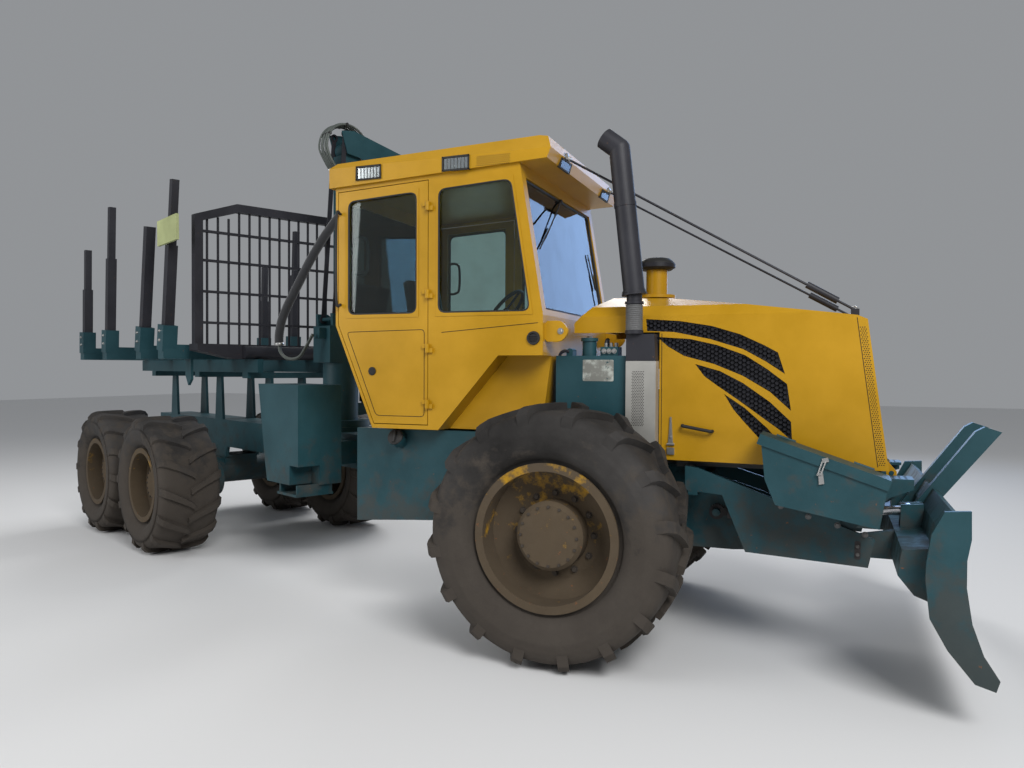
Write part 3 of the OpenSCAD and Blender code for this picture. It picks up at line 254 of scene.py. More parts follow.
# %% [markdown]
# ## Woven cloth and hose covers
# Seat cloth and the sleeve of a hose are both weaves. Two crossed waves make warp and weft on Object
# coordinates. Their product drives a small bump, and slow noise shifts the colour a little.

# %% Woven cloth
def woven(name, colour, threads=420.0, rough=0.95):
    """Cloth from two crossed sets of threads."""
    material, tree, place = blank_material(name)
    warp, weft = (add(tree, "ShaderNodeTexWave", {"Vector": place, "Scale": threads, "Distortion": 0.4},
                      bands_direction=way).outputs["Fac"] for way in "YZ")
    weave = add(tree, "ShaderNodeMath", {0: warp, 1: weft}, operation="MULTIPLY").outputs[0]
    thread = blend(tree, noise(tree, place, 6.0, 5.0), tuple(c * 0.6 for c in colour) + (1,),
                   tuple(min(1, c * 1.5) for c in colour) + (1,))
    relief = add(tree, "ShaderNodeBump", {"Strength": 0.25, "Distance": 0.001, "Height": weave})
    shader = add(tree, "ShaderNodeBsdfPrincipled", {"Base Color": thread, "Normal": relief.outputs["Normal"],
                                                    "Roughness": rough, "Sheen Weight": 0.3})
    return close_material(material, shader)


COATS["cloth"] = woven("seat cloth", (0.035, 0.036, 0.042))
COATS["sleeve"] = woven("hose sleeve", (0.022, 0.023, 0.026), threads=260.0)
print("finishes:", sorted(COATS))

# %% [markdown]
# ## Finishes on the CAD pieces
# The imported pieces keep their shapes. Each gets the coat that the real one wears, chosen by its node name.

# %% Paint the CAD pieces
NODE_COATS = {
    "yellow": ["hood", "air_intake", "cab_shell", "cab_foot", "cab_roof", "door_right", "door_left"],
    "green": ["front_frame", "front_axle", "hydraulic_tank", "side_tanks", "tool_boxes", "box_lid_right",
              "box_lid_left", "blade", "rear_frame", "bunk_frame", "bogies", "bunks", "rear_tank",
              "crane_column", "main_boom", "outer_boom", "boom_extension"],
    "black": ["hood_mesh", "exhaust", "headboard", "stakes", "blade_barrels", "lift_barrel", "crane_link",
              "claw_front", "claw_rear", "branch_cables"],
    "trim": ["console"],
    "cloth": ["seat"],
    "grey": ["engine_block", "rotator"],
    "chrome": ["blade_rods", "lift_rod"],
    "glass": ["cab_glass", "door_right_glass", "door_left_glass"],
    "sleeve": ["crane_hose"],
    "hose": ["hose_tail", "knuckle_hoses"],
}
WHEELS = ["front_right", "front_left", "mid_right", "mid_left", "back_right", "back_left"]
NODE_COATS["rubber"] = ["tyre_" + w for w in WHEELS]
NODE_COATS["yellow_disc"] = ["rim_" + w for w in WHEELS]
for coat, names in NODE_COATS.items():
    for name in names:
        if name in nodes:
            nodes[name].data.materials.clear()
            nodes[name].data.materials.append(COATS[coat])
left_out = sorted(set(nodes) - {n for names in NODE_COATS.values() for n in names})
print("nodes without a coat:", left_out)


# %% [markdown]
# ## Making meshes
# Small helpers turn lists of points into pieces. Each piece is made in its final place, so its object stays
# at the origin, unturned, as a CAD node does. `finish_piece` cleans the mesh, gives it a coat and lets it ride.

# %% From points to pieces
def finish_piece(name, mesh, coat, body, bevel=0.0, smooth=False):
    """A mesh in its final place becomes a piece that rides on a body."""
    work = bmesh.new()
    work.from_mesh(mesh)
    bmesh.ops.remove_doubles(work, verts=work.verts, dist=1e-5)
    bmesh.ops.recalc_face_normals(work, faces=work.faces)
    work.to_mesh(mesh)
    work.free()
    made = bpy.data.objects.new(name, mesh)
    scene.collection.objects.link(made)
    mesh.materials.clear()
    mesh.materials.append(COATS[coat])
    mesh.polygons.foreach_set("use_smooth", [smooth] * len(mesh.polygons))
    if bevel > 0:
        rounding = made.modifiers.new("rounded edges", "BEVEL")
        rounding.width, rounding.segments, rounding.limit_method = bevel, 2, "ANGLE"
    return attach(made, body)


def mesh_of(parts):
    """One mesh from several (points, faces) parts."""
    points, faces = [], []
    for part_points, part_faces in parts:
        start = len(points)
        points += [tuple(p) for p in part_points]
        faces += [tuple(i + start for i in f) for f in part_faces]
    mesh = bpy.data.meshes.new("made")
    mesh.from_pydata(points, [], faces)
    mesh.update()
    return mesh


def piece(name, parts, coat, body, **finish):
    """A piece from (points, faces) parts."""
    return finish_piece(name, mesh_of(parts), coat, body, **finish)


print("finishes to choose from:", len(COATS))


# %% Plates and boxes
def slab(outline, low, high):
    """A plate: an outline of (x, z) points, from low to high across the machine."""
    n = len(outline)
    points = [(x, y, z) for y in (low, high) for x, z in outline]
    faces = [tuple(range(n)), tuple(range(2 * n - 1, n - 1, -1))]
    faces += [(i, i + n, (i + 1) % n + n, (i + 1) % n) for i in range(n)]
    return points, faces


def rect(x0, z0, x1, z1):
    """The outline of a rectangle between two corners."""
    return [(x0, z0), (x1, z0), (x1, z1), (x0, z1)]


def box_part(low, high):
    """A box between two corners."""
    return slab(rect(low[0], low[2], high[0], high[2]), low[1], high[1])


print("faces of a box:", len(box_part((0, 0, 0), (1, 1, 1))[1]))


# %% Tubes
def sided(side, points):
    """Points drawn on the left, carried to a side."""
    return [(x, side * y, z) for x, y, z in points]


def tube_part(path, radius, sides=12, closed=False):
    """A tube along a path. Its rings turn with the path, so it never twists. radius may change along it."""
    path = [Vector(p) for p in path]
    n = len(path)
    radii = radius if hasattr(radius, "__len__") else [radius] * n
    def along(i):
        if closed:
            return (path[(i + 1) % n] - path[i - 1]).normalized()
        return (path[min(i + 1, n - 1)] - path[max(i - 1, 0)]).normalized()
    side = along(0).orthogonal().normalized()
    points, faces = [], []
    for i in range(n):
        ahead = along(i)
        side = (side - ahead * side.dot(ahead)).normalized()
        other = ahead.cross(side)
        points += [path[i] + (side * math.cos(a) + other * math.sin(a)) * radii[i]
                   for a in (2 * math.pi * k / sides for k in range(sides))]
    for i in range(n if closed else n - 1):
        for k in range(sides):
            a, b = i * sides + k, i * sides + (k + 1) % sides
            j = (i + 1) % n
            faces.append((a, b, j * sides + (k + 1) % sides, j * sides + k))
    if not closed:
        faces += [tuple(range(sides))[::-1], tuple((n - 1) * sides + k for k in range(sides))]
    return points, faces


def smooth_path(corners, per_span=6):
    """A smooth curve through the corners, for hoses and rails."""
    corners = [Vector(c) for c in corners]
    ends = [2 * corners[0] - corners[1]] + corners + [2 * corners[-1] - corners[-2]]
    path = []
    for i in range(1, len(ends) - 2):
        a, b, c, d = ends[i - 1:i + 3]
        for k in range(per_span):
            t = k / per_span
            path.append(0.5 * ((2 * b) + (c - a) * t + (2 * a - 5 * b + 4 * c - d) * t * t
                               + (3 * b - a - 3 * c + d) * t ** 3))
    return path + [corners[-1]]


def bent_rod(name, corners, radius, coat, body):
    """A round rod along a smooth curve."""
    return piece(name, [tube_part(smooth_path(corners), radius)], coat, body, smooth=True)


print("points on a bend:", len(smooth_path([(0, 0, 0), (1, 0, 0), (1, 1, 0)])))


# %% Turned shapes
def turned_part(profile, base, axis, steps=48):
    """A turned shape: (radius, height) pairs spun about an axis through base."""
    base, axis = Vector(base), Vector(axis).normalized()
    side = axis.orthogonal().normalized()
    other = axis.cross(side)
    points, faces = [], []
    for r, h in profile:
        points += [base + axis * h + (side * math.cos(a) + other * math.sin(a)) * r
                   for a in (2 * math.pi * k / steps for k in range(steps))]
    for i in range(len(profile) - 1):
        for k in range(steps):
            m = (k + 1) % steps
            faces.append((i * steps + k, i * steps + m, (i + 1) * steps + m, (i + 1) * steps + k))
    return points, faces


def band_part(inner, outer, high, base, axis, steps=36):
    """A turned band of square section, or a disc where inner is 0."""
    return turned_part([(inner, 0), (outer, 0), (outer, high), (inner, high)], base, axis, steps)


print("faces of a band:", len(band_part(1, 2, 1, (0, 0, 0), (0, 0, 1))[1]))


# %% [markdown]
# ## The rear unit's own directions
# The rear frame is parked 25 degrees out of line. Places on it are easier to say along its own spine, so
# `rear` turns them about the centre joint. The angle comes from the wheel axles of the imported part.

# %% Rear unit directions
def centre(node):
    low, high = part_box(node)
    return (low + high) / 2


across = (centre("tyre_mid_left") - centre("tyre_mid_right")).normalized()
REAR_TURN = math.degrees(math.atan2(-across.x, across.y))
JOINT_X = next(j for j in frame["joints"] if j["name"] == "steer")["pos_m"][0]


def rear(x, y, z):
    """A point said along the straight machine, turned with the rear unit."""
    a, ahead = math.radians(REAR_TURN), x - JOINT_X
    return Vector((JOINT_X + ahead * math.cos(a) - y * math.sin(a), ahead * math.sin(a) + y * math.cos(a), z))


def at_rear(part):
    return [tuple(rear(*p)) for p in part[0]], part[1]


print("the rear unit is turned by", round(REAR_TURN, 2), "degrees about x =", JOINT_X)

# %% [markdown]
# ## The crane's hose
# A woven sleeve keeps a bundle of hydraulic hoses together. It is clamped to the main boom, hangs in a long
# bow beside the column, and at its foot three thin hoses come out and turn up towards a port. Each is a fixed
# length of something flexible, so it is a tube along one smooth line. The lines lie in one upright plane, or
# beside it, and follow the same points as the CAD solids.

# %% Crane directions and hose routes
COLUMN_BACK = 2.9
HOSE_FOOT, HOSE_TURN = (-0.165, -0.175), math.radians(136.7)
SLEEVE_R, TAIL_R = 0.040, 0.015
SLEEVE_ROUTE = [(-0.100, 3.310), (-0.020, 3.215), (0.050, 3.120), (0.115, 3.025), (0.175, 2.925), (0.235, 2.820),
                (0.290, 2.710), (0.345, 2.600), (0.400, 2.490), (0.450, 2.385), (0.490, 2.280), (0.512, 2.175),
                (0.518, 2.100), (0.515, 2.040)]
TAIL_ROUTE = [(0.515, 2.040), (0.508, 1.995), (0.485, 1.955), (0.447, 1.928), (0.400, 1.918), (0.352, 1.928),
              (0.315, 1.955), (0.290, 1.995), (0.262, 2.045), (0.232, 2.100), (0.205, 2.150)]


def crane(u, v, z):
    """A point in the crane's own directions: u outward, v across the booms, z up."""
    return rear(-COLUMN_BACK - v, u, z)


def hose_line(route, aside=0.0):
    """A smooth line through a route of (outward, height) points, or beside it."""
    c, s = math.cos(HOSE_TURN), math.sin(HOSE_TURN)
    corners = [crane(HOSE_FOOT[0] + r * c - aside * s, HOSE_FOOT[1] + r * s + aside * c, z) for r, z in route]
    return smooth_path(corners, per_span=4)


def line_length(path):
    return sum((b - a).length for a, b in zip(path, path[1:]))


print("points on the two routes:", len(SLEEVE_ROUTE), len(TAIL_ROUTE))

# %% Sleeve and the hoses at its foot
sleeve_line = hose_line(SLEEVE_ROUTE)
sleeve = piece("hose_sleeve", [tube_part(sleeve_line, SLEEVE_R, sides=20)], "sleeve", "main_boom", smooth=True)
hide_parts("crane_hose")
foot_band = [sleeve_line[-1] + (sleeve_line[-1] - sleeve_line[-2]).normalized() * h for h in (-0.030, -0.002)]
band = piece("sleeve_band", [tube_part(foot_band, SLEEVE_R + 0.004, sides=24)], "steel", "main_boom", smooth=True)
for label, aside, radius in (("middle", 0.0, TAIL_R), ("near", -0.023, 0.008), ("far", 0.023, 0.008)):
    line = hose_line(TAIL_ROUTE, aside)
    hose = piece("hose_tail_" + label, [tube_part(line, radius, sides=14)], "hose", "main_boom", smooth=True)
    if label == "middle":
        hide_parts("hose_tail")
    print("tail hose", label, "length in metres:", round(line_length(line), 3))
print("sleeve length in metres:", round(line_length(sleeve_line), 3))

# %% [markdown]
# ## Hoses over the knuckle
# Seven bleached hoses leave the back of the main boom, arch over the knuckle and end at fittings between the
# cheeks of the outer boom. They are strapped down, so they are drawn as a fixed bundle. Each arch has its own
# radius, which gives the untidy fan of a real bundle.

# %% Knuckle hoses
ARCH_U, ARCH_Z, ARCH_R = 0.040, 3.910, 0.226
arch_parts, ferrules = [], []
for k in range(7):
    v = -0.063 + 0.021 * k
    reach = ARCH_R + 0.011 * math.sin(2.3 * k)
    back = [(-0.037, 3.664 + 0.004 * (k % 3)), (-0.095, 3.722), (-0.150, 3.800), (ARCH_U - reach, ARCH_Z - 0.02)]
    arch = [(ARCH_U - reach * math.cos(a), ARCH_Z + reach * math.sin(a))
            for a in (math.pi * t / 10 for t in range(1, 11))]
    line = smooth_path([crane(u, v + 0.004 * math.sin(9 * u + k), z) for u, z in back + arch], per_span=3)
    arch_parts.append(tube_part(line, 0.0095, sides=12))
    for ends in ((line[-1], line[-1] - Vector((0, 0, 0.045))), (line[0], line[3])):
        ferrules.append(tube_part(ends, 0.0125, sides=12))
hoses = piece("knuckle_hose_bundle", arch_parts, "hose", "main_boom", smooth=True)
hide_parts("knuckle_hoses")
piece("hose_ferrules", ferrules, "steel", "main_boom", smooth=True)
straps = [tube_part([crane(ARCH_U - ARCH_R * math.cos(a), w, ARCH_Z + ARCH_R * math.sin(a))
                     for w in (-0.076, 0.076)], 0.016, sides=8) for a in (0.5, 1.5, 2.6)]
piece("hose_straps", straps, "trim", "main_boom")
print("hoses over the knuckle:", len(arch_parts))

# %% [markdown]
# ## Copies round an axle
# Lugs, wheel bolts and hub screws all repeat round an axle. One Geometry Nodes tree does them: it takes the
# single shape that is drawn at the axle, sets a point for each copy, turns each by its share of a full
# circle, and makes the copies real before the coat goes on.

# %% Steps that the trees share
def start_tree(name, sockets):
    """A tree that takes a shape, the sockets given as (label, kind, value), and a coat."""
    tree = bpy.data.node_groups.new(name, "GeometryNodeTree")
    for label, kind, value in [("Geometry", "Geometry", None)] + sockets + [("Coat", "Material", None)]:
        socket = tree.interface.new_socket(label, in_out="INPUT", socket_type="NodeSocket" + kind)
        if value is not None:
            socket.default_value = value
    tree.interface.new_socket("Geometry", in_out="OUTPUT", socket_type="NodeSocketGeometry")
    return tree, add(tree, "NodeGroupInput").outputs


def end_tree(tree, shape, coat):
    """Puts the coat on the shape and hands it out."""
    coated = add(tree, "GeometryNodeSetMaterial", {"Geometry": shape, "Material": coat})
    add(tree, "NodeGroupOutput", {0: coated.outputs[0]})
    return tree


def real_copies(tree, points, shape, **inputs):
    """One real copy of a shape on each point."""
    copies = add(tree, "GeometryNodeInstanceOnPoints", {"Points": points, "Instance": shape, **inputs})
    return add(tree, "GeometryNodeRealizeInstances", {"Geometry": copies.outputs[0]}).outputs[0]


print("steps:", [step.__name__ for step in (start_tree, real_copies, end_tree)])


# %% Ring tree
def ring_tree():
    tree, given = start_tree("copies round an axle", [("Count", "Int", 12), ("Half step", "Float", 0.0),
                                                      ("Centre", "Vector", None), ("Turn", "Vector", None)])
    points = add(tree, "GeometryNodeMeshLine", {"Count": given["Count"], "Offset": (0.0, 0.0, 0.0)})
    angle = add(tree, "GeometryNodeInputIndex").outputs[0]
    for value, operation in ((given["Half step"], "ADD"), (given["Count"], "DIVIDE"), (2 * math.pi, "MULTIPLY")):
        angle = add(tree, "ShaderNodeMath", {0: angle, 1: value}, operation=operation).outputs[0]
    spin = add(tree, "ShaderNodeCombineXYZ", {"Y": angle})
    ring = real_copies(tree, points.outputs[0], given["Geometry"], Rotation=spin.outputs[0])
    placed = add(tree, "GeometryNodeTransform", {"Geometry": ring, "Translation": given["Centre"],
                                                 "Rotation": given["Turn"]})
    return end_tree(tree, placed.outputs[0], given["Coat"])


RING = ring_tree()
print("nodes in the ring tree:", len(RING.nodes))


# %% Running a tree
def by_nodes(name, mesh, tree, values, coat, body):
    """Runs a tree on a mesh and keeps the result as a plain mesh piece."""
    carrier = bpy.data.objects.new(name + " carrier", mesh)
    scene.collection.objects.link(carrier)
    modifier = carrier.modifiers.new("nodes", "NODES")
    modifier.node_group = tree
    for item in tree.interface.items_tree:
        if item.in_out == "INPUT" and item.name in values:
            modifier[item.identifier] = values[item.name]
        if item.in_out == "INPUT" and item.name == "Coat":
            modifier[item.identifier] = COATS[coat]
    graph = bpy.context.evaluated_depsgraph_get()
    made = bpy.data.meshes.new_from_object(carrier.evaluated_get(graph))
    bpy.data.objects.remove(carrier)
    return finish_piece(name, made, coat, body)


def axle_turn(body):
    """Turn about Z that carries +Y onto the wheel's axle."""
    return math.radians(0 if "front" in body else REAR_TURN)


print("turn of a rear axle in radians:", round(axle_turn("wheel_mid_right"), 4))

# %% [markdown]
# ## Tyres
# A forestry tyre is a carcass with slanting lugs that leave a chevron track. The carcass is a turned shape
# with a rim bead, a bulging wall with rings, and a crown. One lug is drawn as a bent bar from the middle of
# the crown to the shoulder; the ring tree repeats it on one side, and again on the other side half a step on.

# %% Tyre sizes
SHOULDER = 0.72
KINDS = {
    "front": {"width": 0.65, "bead": 0.43, "lug": 0.042, "count": 16, "nuts": 0.252, "screws": 0.182,
              "hub": 0.205},
    "rear": {"width": 0.60, "bead": 0.337, "lug": 0.040, "count": 14, "nuts": 0.212, "screws": 0.137,
             "hub": 0.150},
}
TYRES = {}
for w in WHEELS:
    low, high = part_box("tyre_" + w)
    TYRES[w] = {"tip": (high.z - low.z) / 2, "centre": centre("tyre_" + w),
                "side": 1 if w.endswith("left") else -1, **KINDS["front" if "front" in w else "rear"]}
print({w: round(t["tip"], 4) for w, t in TYRES.items()})


# %% Carcass and lug

def crown_radius(tyre, y):
    """Radius of the carcass at a distance y from its middle plane."""
    share = abs(y) / (tyre["width"] / 2)
    fall = max(0.0, share - SHOULDER) / (1 - SHOULDER)
    return tyre["tip"] - tyre["lug"] - 0.012 * share ** 2 - 0.05 * fall ** 2


def carcass(tyre):
    """Profile of the carcass as (radius, y): one half and its mirror image."""
    half, bead, tip = tyre["width"] / 2, tyre["bead"], tyre["tip"]
    middle = (bead + tip) / 2
    wall = [(bead + 0.0004, 0.70), (bead + 0.03, 0.735), (bead + 0.05, 0.75), (bead + 0.055, 0.80),
            (bead + 0.085, 0.90), (bead + 0.115, 0.955), (middle, 0.985), (middle + 0.012, 0.994),
            (middle + 0.02, 0.985), (middle + 0.05, 0.99), (tip - 0.13, 0.975), (tip - 0.10, 0.95)]
    crown = [(crown_radius(tyre, half * s), s) for s in (0.90, 0.8, 0.6, 0.4, 0.2, 0.0)]
    half_profile = [(r, s * half) for r, s in wall + crown]
    return half_profile + [(r, -y) for r, y in half_profile[-2::-1]]


def lug_part(tyre, side):
    """One slanting lug on the +Z side of the axle, from the middle to past the shoulder."""
    half, steps = tyre["width"] / 2, 9
    points, faces = [], []
    for i in range(steps + 1):
        s = i / steps
        y = -0.02 + s * (half * 0.97 + 0.02)
        drop = max(0.0, s - 0.80) / 0.20
        sweep = -0.17 * (s ** 0.85) + 0.02
        thick = 0.048 + 0.026 * s
        low = crown_radius(tyre, y) - 0.02 - 0.05 * drop
        high = tyre["tip"] - 0.0006 - 0.010 * s ** 2 - 0.045 * drop ** 2
        for r, wide in ((low, thick + 0.018), (high, thick)):
            for hand in (-1, 1):
                angle = (sweep + hand * wide / 2) / tyre["tip"]
                points.append((math.sin(angle) * r, side * y, math.cos(angle) * r))
    for i in range(steps):
        a, b = 4 * i, 4 * i + 4
        faces += [(a, b, b + 2, a + 2), (a + 1, a + 3, b + 3, b + 1), (a + 2, b + 2, b + 3, a + 3),
                  (a, a + 1, b + 1, b)]
    faces += [(0, 2, 3, 1), (4 * steps, 4 * steps + 1, 4 * steps + 3, 4 * steps + 2)]
    return points, faces


print("rings in a carcass:", len(carcass(TYRES["front_right"])))

# %% Build the tyres
for w in WHEELS:
    tyre, turn, body = TYRES[w], axle_turn(w), "wheel_" + w
    axis = (-math.sin(turn), math.cos(turn), 0)
    form = piece("tyre_carcass_" + w, [turned_part(carcass(tyre), tyre["centre"], axis, steps=120)],
                 "rubber", body, smooth=True)
    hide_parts("tyre_" + w)
    for side, half_step in ((-1, 0.0), (1, 0.5)):
        name = "lugs_%s_%s" % (w, "in" if side * tyre["side"] < 0 else "out")
        values = {"Count": tyre["count"], "Half step": half_step, "Centre": tyre["centre"], "Turn": (0, 0, turn)}
        lugs = by_nodes(name, mesh_of([lug_part(tyre, side)]), RING, values, "rubber", body)
print("tyres built:", len(TYRES))


# %% [markdown]
# ## Wheel nuts and hub screws
# The disc is held by a ring of nuts and the planetary hub by smaller screws. A hexagon head on a washer is
# drawn once at the top of the circle, then the ring tree repeats it.

# %% Wheel hardware
def bolt_head(place, axis, across, high, washer=(1.35, 0.002, 14), chamfer=(0.85, 0.0015)):
    """A hexagon head. Its washer has a spread, a thickness and sides, its chamfer a share and a height."""
    spread, thick, sides = washer
    top = high + chamfer[1]
    head = [(0, thick), (across, thick), (across, high), (across * chamfer[0], top), (0, top)]
    return [band_part(0, across * spread, thick, place, axis, sides), turned_part(head, place, axis, steps=6)]


for w in WHEELS:
    tyre = TYRES[w]
    facing = Vector((0, tyre["side"], 0))
    for label, radius, out, count, across, high in (
            ("disc_nuts", tyre["nuts"], 0.06 * tyre["width"] + 0.024, 12, 0.017, 0.016),
            ("hub_screws", tyre["screws"], tyre["hub"], 16, 0.008, 0.007)):
        place = facing * out + Vector((0, 0, radius))
        head = bolt_head(place, facing, across, high, (1.3, 0.003, 16), (0.86, 0.002))
        values = {"Count": count, "Centre": tyre["centre"], "Turn": (0, 0, axle_turn(w))}
        by_nodes(label + "_" + w, mesh_of(head), RING, values, "mud_hub", "wheel_" + w)
print("wheel hardware on", len(WHEELS), "wheels")

# %% [markdown]
# ## Honeycomb grilles
# Four swept vents on each side of the hood are filled with a honeycomb. The vents are the same curves as the
# hood's cut-outs. A grid of cell centres is kept where it falls inside a vent, and a second tree sets one
# six-sided frame on each.

# %% Honeycomb tree
CELL = 0.0165
UPRIGHT = (math.pi / 2, 0.0, 0.0)


def comb_tree():
    tree, given = start_tree("honeycomb cells", [("Cell radius", "Float", CELL), ("Wall", "Float", 0.004),
                                                 ("Depth", "Float", 0.010)])
    line = add(tree, "GeometryNodeCurvePrimitiveCircle", {"Resolution": 6, "Radius": given["Cell radius"]},
               mode="RADIUS")
    wall = add(tree, "GeometryNodeCurvePrimitiveQuadrilateral",
               {"Width": given["Wall"], "Height": given["Depth"]})
    cell = add(tree, "GeometryNodeCurveToMesh", {"Curve": line.outputs[0], "Profile Curve": wall.outputs[0]})
    stood = add(tree, "GeometryNodeTransform", {"Geometry": cell.outputs[0], "Rotation": UPRIGHT})
    return end_tree(tree, real_copies(tree, given["Geometry"], stood.outputs[0]), given["Coat"])


COMB = comb_tree()
print("nodes in the honeycomb tree:", len(COMB.nodes))

# %% Vent outlines
VENTS = [
    [(0.453, 2.173), (0.677, 2.156), (0.881, 2.121), (1.055, 2.067), (1.201, 1.997), (1.285, 1.950),
     (1.328, 1.816), (1.208, 1.897), (1.074, 1.972), (0.869, 2.037), (0.638, 2.085), (0.461, 2.094)],
    [(0.527, 2.054), (0.742, 2.039), (0.913, 1.999), (1.087, 1.934), (1.221, 1.847), (1.341, 1.754),
     (1.366, 1.587), (1.240, 1.703), (1.076, 1.802), (0.896, 1.877), (0.705, 1.929), (0.600, 1.990)],
    [(0.776, 1.877), (0.934, 1.832), (1.077, 1.757), (1.241, 1.640), (1.367, 1.519),
     (1.374, 1.401), (1.290, 1.473), (1.182, 1.551), (1.047, 1.649), (0.910, 1.743), (0.833, 1.800)],
    [(0.960, 1.686), (1.090, 1.599), (1.225, 1.477), (1.279, 1.416), (1.208, 1.376), (1.079, 1.517),
     (1.017, 1.590)]]


def inside(point, outline):
    """True where a point lies inside an outline, by counting crossings."""
    x, z = point
    hit = False
    for (ax, az), (bx, bz) in zip(outline, outline[1:] + outline[:1]):
        if (az > z) != (bz > z) and x < (bx - ax) * (z - az) / (bz - az) + ax:
            hit = not hit
    return hit


print("vents on each side:", len(VENTS))

# %% Fill the vents
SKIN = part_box("hood")[1].y
for side, label in SIDES:
    grid = [(0.44 + i * CELL * 1.5, 1.36 + (j + 0.5 * (i % 2)) * CELL * math.sqrt(3))
            for i in range(64) for j in range(40)]
    centres = [(x, side * (SKIN - 0.0075), z) for x, z in grid if any(inside((x, z), v) for v in VENTS)]
    points = bpy.data.meshes.new("cell centres")
    points.from_pydata(centres, [], [])
    by_nodes("honeycomb_" + label, points, COMB, {}, "black", "hood")
    print("honeycomb cells on the", label, len(centres))

# %% [markdown]
# ## Punched sheet
# The roof sides, the exhaust guard and the front edge of the hood are punched with small round holes. Real
# holes would cost many triangles, so each hole is a thin dark disc that lies on the sheet. Its dark colour is
# painted shade: it stands for the shaded space behind the sheet. One tree sets a disc on every point of a grid,
# and a turn lays it on the sheet.

# %% Punch tree
def punch_tree():
    tree, given = start_tree("punched holes", [("Hole radius", "Float", 0.004), ("Depth", "Float", 0.001),
                                               ("Turn", "Vector", None)])
    disc = add(tree, "GeometryNodeMeshCylinder", {"Vertices": 8, "Radius": given["Hole radius"],
                                                  "Depth": given["Depth"]})
    holes = real_copies(tree, given["Geometry"], disc.outputs[0], Rotation=given["Turn"])
    return end_tree(tree, holes, given["Coat"])


PUNCH = punch_tree()
print("nodes in the punch tree:", len(PUNCH.nodes))


def punched(name, spots, radius, body, turn=UPRIGHT):
    """Holes at the spots, drawn as dark discs of painted shade, in a sheet that faces sideways or is turned."""
    points = bpy.data.meshes.new(name + " spots")
    points.from_pydata(spots, [], [])
    # The discs take the dark seam coat, which here is painted shade of the space seen through each hole.
    return by_nodes(name, points, PUNCH, {"Hole radius": radius, "Turn": turn}, "seam", body)


def staggered(x0, x1, z0, z1, pitch):
    """Rows of (x, z), every second row half a step on."""
    rows = int((z1 - z0) / (pitch * 0.87)) + 1
    steps = int((x1 - x0) / pitch)
    return [(x0 + (i + 0.5 * (j % 2)) * pitch, z0 + j * pitch * 0.87) for j in range(rows) for i in range(steps)]


# %% Punch the sheets
ROOF_Y, GUARD_Y = 0.8652, -0.6942
FRONT_LOW, FRONT_HIGH = (1.922, 1.240), (1.796, 2.150)


def hood_front_x(z):
    """Where the hood's front edge is at a height."""
    t = (z - FRONT_LOW[1]) / (FRONT_HIGH[1] - FRONT_LOW[1])
    return FRONT_LOW[0] + (FRONT_HIGH[0] - FRONT_LOW[0]) * t


for side, label in SIDES:
    spots = [(x, side * ROOF_Y, z) for x, z in staggered(-0.650, -0.395, 3.212, 3.282, 0.0135)]
    punched("roof_holes_" + label, spots, 0.0036, "front")
    edge = [(hood_front_x(z) - 0.048 + k * 0.0125 + 0.006 * (j % 2), side * (SKIN + 0.0002), z)
            for j, z in enumerate(1.275 + 0.0118 * m for m in range(71)) for k in range(3)]
    punched("hood_edge_holes_" + label, edge, 0.0036, "hood")
spots = [(x, GUARD_Y, z) for x, z in staggered(0.388, 0.470, 1.475, 1.830, 0.0115)]
punched("guard_holes", spots, 0.0034, "front")
print("holes in a hood edge and in the guard:", len(edge), len(spots))


# %% [markdown]
# ## Seams, window frames and gaskets
# Panels meet in dark narrow lines, and each window has rounded corners with a rubber gasket. The line is a thin
# tube along a rounded outline. The window frame is a flat ring: its outer edge covers the square CAD opening
# and its inner edge is rounded.

# %% Rounded outlines
DOOR_Y = 0.840


def rounded(outline, radius, steps=5):
    """An outline with its corners rounded, each by a short curve."""
    loop, n = [], len(outline)
    for i in range(n):
        a, b, c = (Vector(outline[j % n]) for j in (i - 1, i, i + 1))
        start, end = b + (a - b).normalized() * radius, b + (c - b).normalized() * radius
        for k in range(steps + 1):
            t = k / steps
            loop.append(tuple(start * (1 - t) ** 2 + b * 2 * t * (1 - t) + end * t * t))
    return loop


print("points on a rounded square:", len(rounded(rect(0, 0, 1, 1), 0.1)))


# %% Window rings and seams
def drawn_in(outline, inset):
    """An outline moved towards its middle."""
    middle = sum((Vector(p) for p in outline), Vector((0, 0))) / len(outline)
    return [tuple(Vector(p) + (middle - Vector(p)).normalized() * inset * 1.4) for p in outline]


def window_ring(outline, y, thick=0.004):
    """A flat ring over an opening: square outside, rounded inside. Gives the ring and its inner edge."""
    outer, inner = drawn_in(outline, -0.012), rounded(drawn_in(outline, 0.012), 0.055)
    outer = [outer[k * len(outline) // len(inner)] for k in range(len(inner))]
    n = len(inner)
    points = [(x, d, z) for d in (y, y + math.copysign(thick, y)) for loop in (outer, inner) for x, z in loop]
    faces = []
    for k in range(n):
        m = (k + 1) % n
        faces += [(k, m, n + m, n + k), (2 * n + k, 3 * n + k, 3 * n + m, 2 * n + m),
                  (n + k, n + m, 3 * n + m, 3 * n + k), (k, 2 * n + k, 2 * n + m, m)]
    return (points, faces), inner


def seam(outline, y, radius=0.0022, closed=True):
    """A dark line along an outline of (x, z) points."""
    return tube_part([(x, y, z) for x, z in outline], radius, sides=6, closed=closed)


